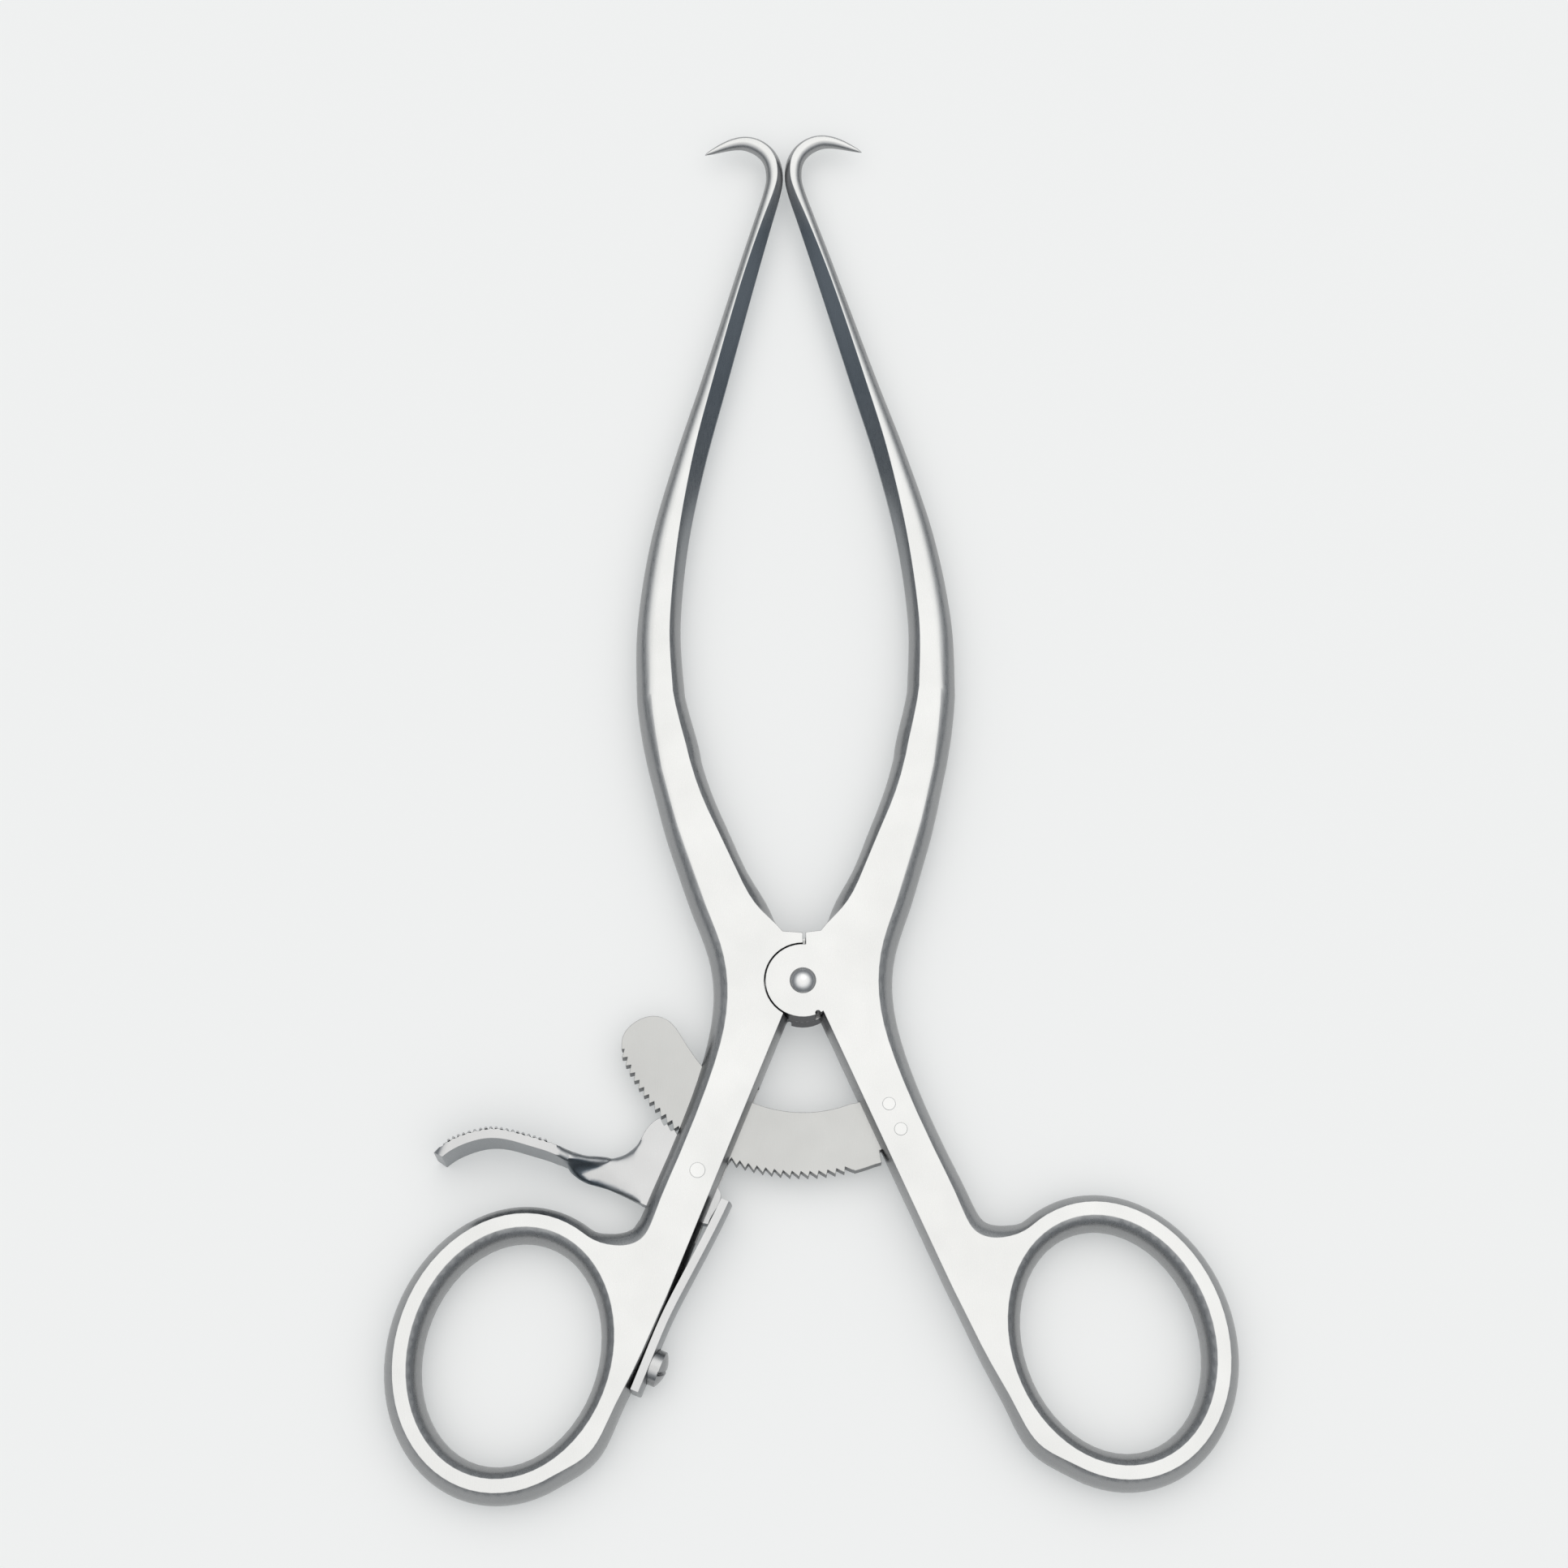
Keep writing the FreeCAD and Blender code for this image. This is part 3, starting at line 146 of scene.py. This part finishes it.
# The two arms: each is one stainless steel forging from finger ring to sharp hook, ground flat on both faces,
# rounded at its sides and finished with a fine satin brushing along its length. The blade above the joint is
# ground to a slanting inner flank and drawn out to a round bar that is bent and sharpened.
# The face tone is the steel's own colour; the side tone is a painted shade that the forging's steep sides take.
FORGED_FACE = (0.675, 0.675, 0.66)
FORGED_SIDE_SHADE = (0.37, 0.375, 0.38)
FLANK_PAINTED_SHADE = (0.17, 0.195, 0.22, 1)
JOINT_GAP_SHADE = (0.02, 0.02, 0.025, 1)
BRUSHED_ALONG = (6500, 600, 6500)
CRISP_EDGE = 0.00016
FINE_BEVEL_SAMPLES = 8


def reckon(tree, operation, first, second=0.0):
    """One sum on two values in a node tree, each a socket or a number."""
    node = tree.nodes.new("ShaderNodeMath")
    node.operation = operation
    for slot, value in enumerate((first, second)):
        if isinstance(value, (int, float)):
            node.inputs[slot].default_value = value
        else:
            tree.links.new(value, node.inputs[slot])
    return node.outputs["Value"]


def share_of(tree, value, low, high, share_from=0.0, share_to=1.0):
    """A value turned into a share between two limits."""
    node = tree.nodes.new("ShaderNodeMapRange")
    for socket, number in (("From Min", low), ("From Max", high), ("To Min", share_from), ("To Max", share_to)):
        node.inputs[socket].default_value = number
    tree.links.new(value, node.inputs["Value"])
    return node.outputs["Result"]


def paint_shade(tree, share, tone):
    """Mixes a painted shade tone into what a material's base colour comes from."""
    mix = tree.nodes.new("ShaderNodeMix")
    mix.data_type = "RGBA"
    mix.inputs["B"].default_value = tone
    base = tree.nodes["Principled BSDF"].inputs["Base Color"]
    tree.links.new(share, mix.inputs["Factor"])
    tree.links.new(base.links[0].from_socket, mix.inputs["A"])
    tree.links.new(mix.outputs["Result"], base)


def place_in(tree):
    """The x, y and z of the shaded point, in the piece's own frame."""
    spot = tree.nodes.new("ShaderNodeSeparateXYZ")
    tree.links.new(tree.nodes["Texture Coordinate"].outputs["Object"], spot.inputs[0])
    return spot.outputs


def steel(name, face, side, roughness, grain, edge, turn=0.0):
    """Steel with a painted shade on its sides, darker than its flat faces, and fine brush lines along one
    direction; side is the painted side shade and edge is how far its corners are softened."""
    finish = bpy.data.materials.new(name)
    finish.use_nodes = True
    tree = finish.node_tree
    make = tree.nodes
    link = tree.links
    shader = make["Principled BSDF"]
    shader.inputs["Metallic"].default_value = 1.0
    where = make.new("ShaderNodeTexCoord")
    brushed = make.new("ShaderNodeMapping")
    brushed.inputs["Rotation"].default_value = (0, 0, turn)
    brushed.inputs["Scale"].default_value = grain
    link.new(where.outputs["Object"], brushed.inputs["Vector"])
    lines = make.new("ShaderNodeTexNoise")
    lines.inputs["Scale"].default_value = 1.0
    lines.inputs["Detail"].default_value = 3.0
    lines.inputs["Roughness"].default_value = 0.6
    link.new(brushed.outputs["Vector"], lines.inputs["Vector"])
    clouds = make.new("ShaderNodeTexNoise")
    clouds.inputs["Scale"].default_value = 130.0
    clouds.inputs["Detail"].default_value = 2.0
    link.new(where.outputs["Object"], clouds.inputs["Vector"])
    # Painted shade: the tone goes from the dark side shade to the face colour with the height of the surface's
    # own normal, so steep sides are painted darker.
    facing = make.new("ShaderNodeSeparateXYZ")
    facing.name = "facing"
    link.new(where.outputs["Normal"], facing.inputs[0])
    side_shade_ramp = make.new("ShaderNodeValToRGB")
    fill_ramp(side_shade_ramp.color_ramp, [
        (0.0, side), (0.4, [c * 0.88 for c in side]), (0.72, [c * 0.95 for c in side]),
        (0.9, [(a + b) / 2 for a, b in zip(side, face)]), (0.97, face)])
    link.new(reckon(tree, "ABSOLUTE", facing.outputs["Z"]), side_shade_ramp.inputs["Fac"])
    worn = make.new("ShaderNodeMix")
    worn.data_type = "RGBA"
    worn.blend_type = "MULTIPLY"
    worn.inputs["Factor"].default_value = 1.0
    wear = reckon(tree, "ADD", clouds.outputs["Fac"], lines.outputs["Fac"])
    link.new(side_shade_ramp.outputs["Color"], worn.inputs["A"])
    link.new(share_of(tree, wear, 0.6, 1.4, 0.92, 1.06), worn.inputs["B"])
    link.new(worn.outputs["Result"], shader.inputs["Base Color"])
    polish = share_of(tree, lines.outputs["Fac"], 0.3, 0.7, roughness - 0.06, roughness + 0.08)
    link.new(polish, shader.inputs["Roughness"])
    soft = make.new("ShaderNodeBevel")
    soft.samples = 6
    soft.inputs["Radius"].default_value = edge
    scratch = make.new("ShaderNodeBump")
    scratch.inputs["Strength"].default_value = 0.25
    scratch.inputs["Distance"].default_value = 0.000012
    link.new(lines.outputs["Fac"], scratch.inputs["Height"])
    link.new(soft.outputs["Normal"], scratch.inputs["Normal"])
    link.new(scratch.outputs["Normal"], shader.inputs["Normal"])
    return finish, soft


def dress(name, finish):
    """Gives a node its finish in place of the plain one it came with."""
    mesh = nodes[name].data
    mesh.materials.clear()
    mesh.materials.append(finish)


forged_steel, forged_edge = steel("forged_steel_satin_painted_shade", FORGED_FACE, FORGED_SIDE_SHADE, 0.30, BRUSHED_ALONG, 0.0002)
forged = forged_steel.node_tree
spot = place_in(forged)

# The outer corners of the forging are rolled over softly above the joint, and everywhere else they are crisp.
outer_line = reckon(forged, "ADD", reckon(forged, "MULTIPLY", spot["Y"], 0.33), 0.005)
outward = reckon(forged, "SUBTRACT", reckon(forged, "ABSOLUTE", spot["X"]), outer_line)
above_joint = share_of(forged, spot["Y"], 0.008, 0.026, 0.00018, 0.0010)
below_tip = share_of(forged, spot["Y"], 0.042, 0.060, 1.0, 0.2)
soft_corner = reckon(forged, "MULTIPLY", reckon(forged, "MULTIPLY", above_joint, below_tip),
                     share_of(forged, outward, -0.0005, 0.001))
forged.links.new(reckon(forged, "MAXIMUM", soft_corner, CRISP_EDGE), forged_edge.inputs["Radius"])
forged_edge.samples = FINE_BEVEL_SAMPLES

# Painted shade: the blades' slanting inner flanks are painted a darker slate grey, and the narrow gap round the
# joint is painted nearly black.
aim = forged.nodes["facing"].outputs
inward = reckon(forged, "MULTIPLY", reckon(forged, "SIGN", spot["X"]), reckon(forged, "MULTIPLY", aim["X"], -1.0))
flank_shade_share = reckon(forged, "MULTIPLY", share_of(forged, inward, 0.15, 0.4),
                     share_of(forged, spot["Y"], 0.050, 0.085))
flank_shade_share = reckon(forged, "MULTIPLY", flank_shade_share, share_of(forged, spot["Y"], 0.1175, 0.109))
paint_shade(forged, flank_shade_share, FLANK_PAINTED_SHADE)
# Painted shade in the joint gap: steep faces within a narrow ring round the rivet are painted nearly black.
squares = reckon(forged, "ADD", reckon(forged, "POWER", spot["X"], 2.0), reckon(forged, "POWER", spot["Y"], 2.0))
gap_shade_share = reckon(forged, "MULTIPLY", share_of(forged, reckon(forged, "SQRT", squares), 0.0078, 0.0070),
                   share_of(forged, reckon(forged, "ABSOLUTE", aim["Z"]), 0.5, 0.2))
paint_shade(forged, gap_shade_share, JOINT_GAP_SHADE)

# The blade along its middle line, in mm: x, y, width, thickness, where the ridge lies across the width, how much
# of the inner side is flank, and how far the outer side bulges as a share of half the width.
BLADE = [
    (18.11, 40.05, 6.46, 5.73, 0.24, 0.00, 0.62),
    (18.29, 50.00, 5.85, 5.30, 0.22, 0.15, 0.86),
    (16.80, 62.00, 5.14, 4.72, 0.28, 0.65, 0.96),
    (13.90, 74.06, 4.30, 4.15, 0.40, 1.00, 0.98),
    (10.38, 86.00, 3.62, 3.55, 0.53, 1.00, 0.90),
    (6.90, 98.00, 3.08, 3.02, 0.60, 1.00, 0.74),
    (4.85, 105.0, 2.80, 2.75, 0.60, 0.95, 0.78),
    (3.10, 110.8, 2.55, 2.52, 0.58, 0.80, 0.85),
    (1.78, 115.2, 2.42, 2.40, 0.54, 0.55, 0.92),
    (1.33, 117.6, 2.38, 2.38, 0.52, 0.35, 0.94),
    (1.50, 119.8, 2.35, 2.35, 0.50, 0.20, 0.95),
    (2.18, 121.4, 2.32, 2.32, 0.48, 0.10, 0.95),
    (3.20, 122.5, 2.26, 2.26, 0.48, 0.10, 0.95),
    (4.40, 123.2, 2.18, 2.18, 0.48, 0.20, 0.95),
    (5.70, 123.5, 1.98, 1.98, 0.48, 0.35, 0.95),
    (7.10, 123.35, 1.70, 1.70, 0.48, 0.40, 0.95),
    (8.50, 122.9, 1.32, 1.32, 0.48, 0.40, 0.95),
    (9.90, 122.3, 0.80, 0.80, 0.48, 0.40, 0.95),
    (10.6, 121.98, 0.46, 0.46, 0.48, 0.30, 0.95),
    (11.1, 121.72, 0.07, 0.07, 0.48, 0.20, 0.95),
]
BELOW_BLADE = (16.22, 30.0)
MIDDLE_HEIGHT = 3.0
ROOT_INNER_BULGE = 0.48
KEEL_SHARE = 0.16
KEEL_FROM = 0.12
LEAST_CREST = 0.02
SIDE_POINTS = 9
STEPS = 9
MERGE_WITHIN = 0.000002
CUT_WITHIN = 0.000001
CUT_BELOW_BLADE = 0.00025
FORGING_SHARP = 24


def between(rows, place):
    """The row at a fractional place along a list, on a smooth curve through the rows around it."""
    first = min(int(place), len(rows) - 2)
    t = place - first
    p0, p1, p2, p3 = (rows[max(0, min(len(rows) - 1, first + shift))] for shift in (-1, 0, 1, 2))
    row = []
    for a, b, c, d in zip(p0, p1, p2, p3):
        square = (2 * a - 5 * b + 4 * c - d) * t * t
        cube = (3 * b - a - 3 * c + d) * t ** 3
        row.append(0.5 * (2 * b + (c - a) * t + square + cube))
    return row


def arc_side(bulge, half, share):
    """Point on a side that bulges by so much over half a thickness: in from the outline, up from the middle."""
    radius = (half * half + bulge * bulge) / (2 * bulge)
    angle = share * math.asin(min(1.0, half / radius))
    return radius * (1 - math.cos(angle)), radius * math.sin(angle)


def blade_section(width, thick, ridge, flank, outer):
    """Half a cross section of the blade, from the inner edge over the top to the outer edge."""
    half = thick / 2
    keel = KEEL_SHARE * half
    inner = []
    for step in range(SIDE_POINTS + 1):
        share = step / SIDE_POINTS
        across, up = arc_side(ROOT_INNER_BULGE * width / 2, half, share)
        line_up = keel + (half - keel) * share if share > KEEL_FROM else keel * share / KEEL_FROM
        line_across = ridge * width * max(0.0, (line_up - keel) / (half - keel))
        inner.append((-width / 2 + across + (line_across - across) * flank, up + (line_up - up) * flank))
    crest = []
    for step in range(SIDE_POINTS + 1):
        across, up = arc_side(outer * width / 2, half, 1 - step / SIDE_POINTS)
        crest.append((width / 2 - across, up))
    # Where flank and outer side would cross, the outer side is drawn in so that a narrow crest is left.
    if crest[0][0] < inner[-1][0] + LEAST_CREST * width:
        reach = (width / 2 - inner[-1][0] - LEAST_CREST * width) / (width / 2 - crest[0][0])
        crest = [(width / 2 - (width / 2 - x) * reach, up) for x, up in crest]
    top = [((inner[-1][0] * (4 - k) + crest[0][0] * k) / 4, half) for k in (1, 2, 3)]
    return inner + top + crest


def as_piece(name, mesh, finish, body, sharp):
    """A finished piece from a mesh, which rides on a body; corners over so many degrees stay crisp."""
    shape = bpy.data.meshes.new(name)
    mesh.to_mesh(shape)
    mesh.free()
    if "custom_normal" in shape.attributes:
        shape.attributes.remove(shape.attributes["custom_normal"])
    shape.materials.clear()
    shape.materials.append(finish)
    for face in shape.polygons:
        face.use_smooth = True
        face.material_index = 0
    shape.set_sharp_from_angle(angle=math.radians(sharp))
    piece = bpy.data.objects.new(name, shape)
    bpy.context.collection.objects.link(piece)
    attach(piece, body)


def forged_arm(node, side):
    """The arm's joint, handle and ring as they are in the frame, with a newly ground blade grown on them."""
    mesh = bmesh.new()
    mesh.from_mesh(nodes[node].data)
    bmesh.ops.remove_doubles(mesh, verts=mesh.verts, dist=MERGE_WITHIN)
    run = Vector((BLADE[1][0] - BELOW_BLADE[0], BLADE[1][1] - BELOW_BLADE[1], 0)).normalized()
    cut = Vector((side * BLADE[0][0], BLADE[0][1], MIDDLE_HEIGHT)) / 1000
    away = Vector((side * run.x, run.y, 0))
    parts = mesh.verts[:] + mesh.edges[:] + mesh.faces[:]
    bmesh.ops.bisect_plane(mesh, geom=parts, dist=CUT_WITHIN, plane_co=cut - CUT_BELOW_BLADE * away,
                           plane_no=away, clear_outer=True)
    rim = [edge for edge in mesh.edges if edge.is_boundary]
    rows = [between(BLADE, k / STEPS) for k in range((len(BLADE) - 1) * STEPS + 1)]
    rings = []
    for index, (x, y, width, thick, ridge, flank, outer) in enumerate(rows):
        before, after = rows[max(index - 1, 0)], rows[min(index + 1, len(rows) - 1)]
        way = Vector((after[0] - before[0], after[1] - before[1], 0)).normalized() if index else run
        across = Vector((way.y, -way.x, 0))
        half_section = blade_section(width, thick, ridge, flank, outer)
        loop = half_section + [(u, -v) for u, v in reversed(half_section[1:-1])]
        ring = []
        for u, v in loop:
            place = Vector((x, y, MIDDLE_HEIGHT)) + across * u + Vector((0, 0, v))
            ring.append(mesh.verts.new((side * place.x / 1000, place.y / 1000, place.z / 1000)))
        rings.append(ring)
    count = len(rings[0])
    for lower, upper in zip(rings, rings[1:]):
        for k in range(count):
            following = (k + 1) % count
            mesh.faces.new((lower[k], lower[following], upper[following], upper[k]))
    mesh.faces.new(rings[-1])
    foot = [mesh.edges.get((rings[0][k], rings[0][(k + 1) % count])) for k in range(count)]
    bmesh.ops.bridge_loops(mesh, edges=rim + foot)
    bmesh.ops.recalc_face_normals(mesh, faces=mesh.faces)
    as_piece(node + "_forging", mesh, forged_steel, node, FORGING_SHARP)
    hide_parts(node)


forged_arm("right_arm", 1)
forged_arm("left_arm", -1)

# The joint's rivet: a polished stainless steel pin with a low domed head. It goes through both halves of the
# lap and is peened flush in the left arm's countersink behind.
rivet_steel, _ = steel("rivet_steel_polished", (0.74, 0.74, 0.73), (0.62, 0.62, 0.62), 0.16,
                       (1500, 1500, 1500), 0.00005)
dress("pivot_rivet", rivet_steel)

# The rack: stamped and milled from steel plate, ground flat, let into the right handle and held by two pins
# that are dressed level with the handle's faces, so they hardly show.
# Painted shade: the rack's sides take a near-black tone, so its edges and tooth gaps show as dark outlines.
plate_steel, _ = steel("plate_steel_ground_painted_shade", (0.50, 0.50, 0.485), (0.13, 0.135, 0.14), 0.33,
                       BRUSHED_ALONG, 0.00014, 0.5)
dress("ratchet_rack", plate_steel)
pin_steel, _ = steel("pin_steel_dressed", (0.70, 0.70, 0.685), (0.4, 0.4, 0.4), 0.30, BRUSHED_ALONG, 0.00004)
dress("rack_pins", pin_steel)

# The release lever: milled from steel, a thin web that runs through a hollow into a bent thumb pad.
# It swings in the left handle's slot on a pin that is dressed level with the handle's faces.
HOLLOW_PAINTED_SHADE = (0.14, 0.165, 0.19, 1)
SCOOP = (-0.0318, -0.0290, -0.0245, -0.0212)
SCOOP_MARGIN = 0.001
LONGEST_EDGE = 0.00045
MOST_CUTS = 7
SMOOTHINGS = 80
SMOOTHING_STEP = 0.5
LEVER_SHARP = 30
lever_steel, lever_edge = steel("lever_steel_ground_painted_shade", (0.56, 0.56, 0.555), (0.30, 0.315, 0.33), 0.32,
                                BRUSHED_ALONG, 0.00012, 1.2)
lever_edge.samples = FINE_BEVEL_SAMPLES
milled = lever_steel.node_tree
spot = place_in(milled)
# Painted shade: the sloping faces in the hollow between web and thumb pad are painted a dark slate tone.
scoop_shade_share = reckon(milled, "MULTIPLY", share_of(milled, spot["X"], -0.0314, -0.0298),
                 share_of(milled, spot["X"], -0.0240, -0.0268))
# The painted shade stays below the bright strip that runs from the thumb pad into the web.
below_strip = reckon(milled, "ADD", spot["Y"], reckon(milled, "MULTIPLY", spot["X"], 0.27))
scoop_shade_share = reckon(milled, "MULTIPLY", scoop_shade_share, share_of(milled, below_strip, -0.0303, -0.0307))
upright = reckon(milled, "ABSOLUTE", milled.nodes["facing"].outputs["Z"])
paint_shade(milled, reckon(milled, "MULTIPLY", scoop_shade_share, share_of(milled, upright, 0.96, 0.80)), HOLLOW_PAINTED_SHADE)


def scoop_share(place):
    """How much the hollow between web and thumb pad is smoothed at a point: 1 inside it, 0 away from it."""
    rising = min(1.0, max(0.0, (place.x - SCOOP[0]) / (SCOOP[1] - SCOOP[0])))
    falling = min(1.0, max(0.0, (SCOOP[3] - place.x) / (SCOOP[3] - SCOOP[2])))
    return rising * falling


lever = bmesh.new()
lever.from_mesh(nodes["release_lever"].data)
bmesh.ops.remove_doubles(lever, verts=lever.verts, dist=MERGE_WITHIN)
for cutting in range(MOST_CUTS):
    long_edges = [edge for edge in lever.edges if edge.calc_length() > LONGEST_EDGE
                  and any(SCOOP[0] - SCOOP_MARGIN < vert.co.x < SCOOP[3] + SCOOP_MARGIN for vert in edge.verts)]
    if not long_edges:
        break
    bmesh.ops.subdivide_edges(lever, edges=long_edges, cuts=1)
    bmesh.ops.triangulate(lever, faces=[face for face in lever.faces if len(face.verts) > 4])
soft_verts = [(vert, scoop_share(vert.co), [edge.other_vert(vert) for edge in vert.link_edges])
              for vert in lever.verts if scoop_share(vert.co) > 0]
for smoothing in range(SMOOTHINGS):
    moved = [vert.co.lerp(sum((other.co for other in around), Vector()) / len(around), SMOOTHING_STEP * share)
             for vert, share, around in soft_verts]
    for (vert, _, _), place in zip(soft_verts, moved):
        vert.co = place
bmesh.ops.recalc_face_normals(lever, faces=lever.faces)
as_piece("release_lever_milled", lever, lever_steel, "release_lever", LEVER_SHARP)
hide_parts("release_lever")

# The thumb pad's grip: fine ridges milled straight across the pad's upper face, darker than the ground steel
# around them. Sizes are in mm; the pad's upper face is followed from the web out to its free end.
PAD_FACE = [(-29.461, -21.776), (-31.32, -21.161), (-33.503, -20.408), (-36.94, -19.331), (-39.757, -18.761),
            (-41.71, -18.94), (-44.401, -19.71), (-45.903, -20.463), (-47.491, -21.666)]
PAD_STEPS = 20
PAD_WIDTH = 6.8
RIDGED_FROM, RIDGED_TO = -33.2, -46.4
RIDGE_PITCH = 0.62
RIDGE_HALF = 0.20
RIDGE_HEIGHT = 0.24
RIDGE_SINK = 0.03
RIDGE_POINTS = 7
EDGE_LIFT = 0.08
CORNER_FROM = -45.6
CORNER_LIFT = 0.9
RIDGE_SHARP = 50
ridges = bmesh.new()
line = [Vector(between(PAD_FACE, k / PAD_STEPS)) for k in range((len(PAD_FACE) - 1) * PAD_STEPS + 1)]
gone = RIDGE_PITCH
for before, after in zip(line, line[1:]):
    gone += (after - before).length
    if gone < RIDGE_PITCH or not RIDGED_TO < after.x < RIDGED_FROM:
        continue
    gone = 0.0
    along = (after - before).normalized()
    out = Vector((along.y, -along.x))
    if out.y < 0:
        out = -out
    lift = CORNER_LIFT if after.x < CORNER_FROM else EDGE_LIFT
    ends = []
    for height in (lift, PAD_WIDTH - lift):
        ring = []
        for point in range(RIDGE_POINTS):
            angle = math.pi * point / (RIDGE_POINTS - 1)
            rise = RIDGE_HEIGHT * math.sin(angle) - RIDGE_SINK
            place = after + along * (RIDGE_HALF * math.cos(angle)) + out * rise
            ring.append(ridges.verts.new((place.x / 1000, place.y / 1000, height / 1000)))
        ends.append(ring)
    for k in range(RIDGE_POINTS):
        following = (k + 1) % RIDGE_POINTS
        ridges.faces.new((ends[0][k], ends[0][following], ends[1][following], ends[1][k]))
    ridges.faces.new(ends[0])
    ridges.faces.new(ends[1])
bmesh.ops.recalc_face_normals(ridges, faces=ridges.faces)
ridge_steel, _ = steel("ridge_steel_milled", (0.34, 0.345, 0.35), (0.16, 0.165, 0.17), 0.32,
                       (6500, 6500, 600), 0.00003)
as_piece("thumb_pad_ridges", ridges, ridge_steel, "release_lever", RIDGE_SHARP)

# The lever's pin: a plain steel pin pressed through the left handle across its slot. It is cut off and
# dressed level with both faces, in the same finish as the rack's pins.
dress("lever_pin", pin_steel)

# The leaf spring and its screw: a spring steel strip with a crowned outer side, held at its lower end by a
# slotted cheese-head screw with a domed top.
spring_steel, _ = steel("spring_steel_ground", (0.58, 0.58, 0.575), (0.33, 0.34, 0.35), 0.30,
                        BRUSHED_ALONG, 0.00008, -0.4)
dress("leaf_spring", spring_steel)
screw_steel, _ = steel("screw_steel_turned", (0.52, 0.52, 0.515), (0.34, 0.345, 0.35), 0.24,
                       (1500, 1500, 1500), 0.00003)
dress("spring_screw", screw_steel)
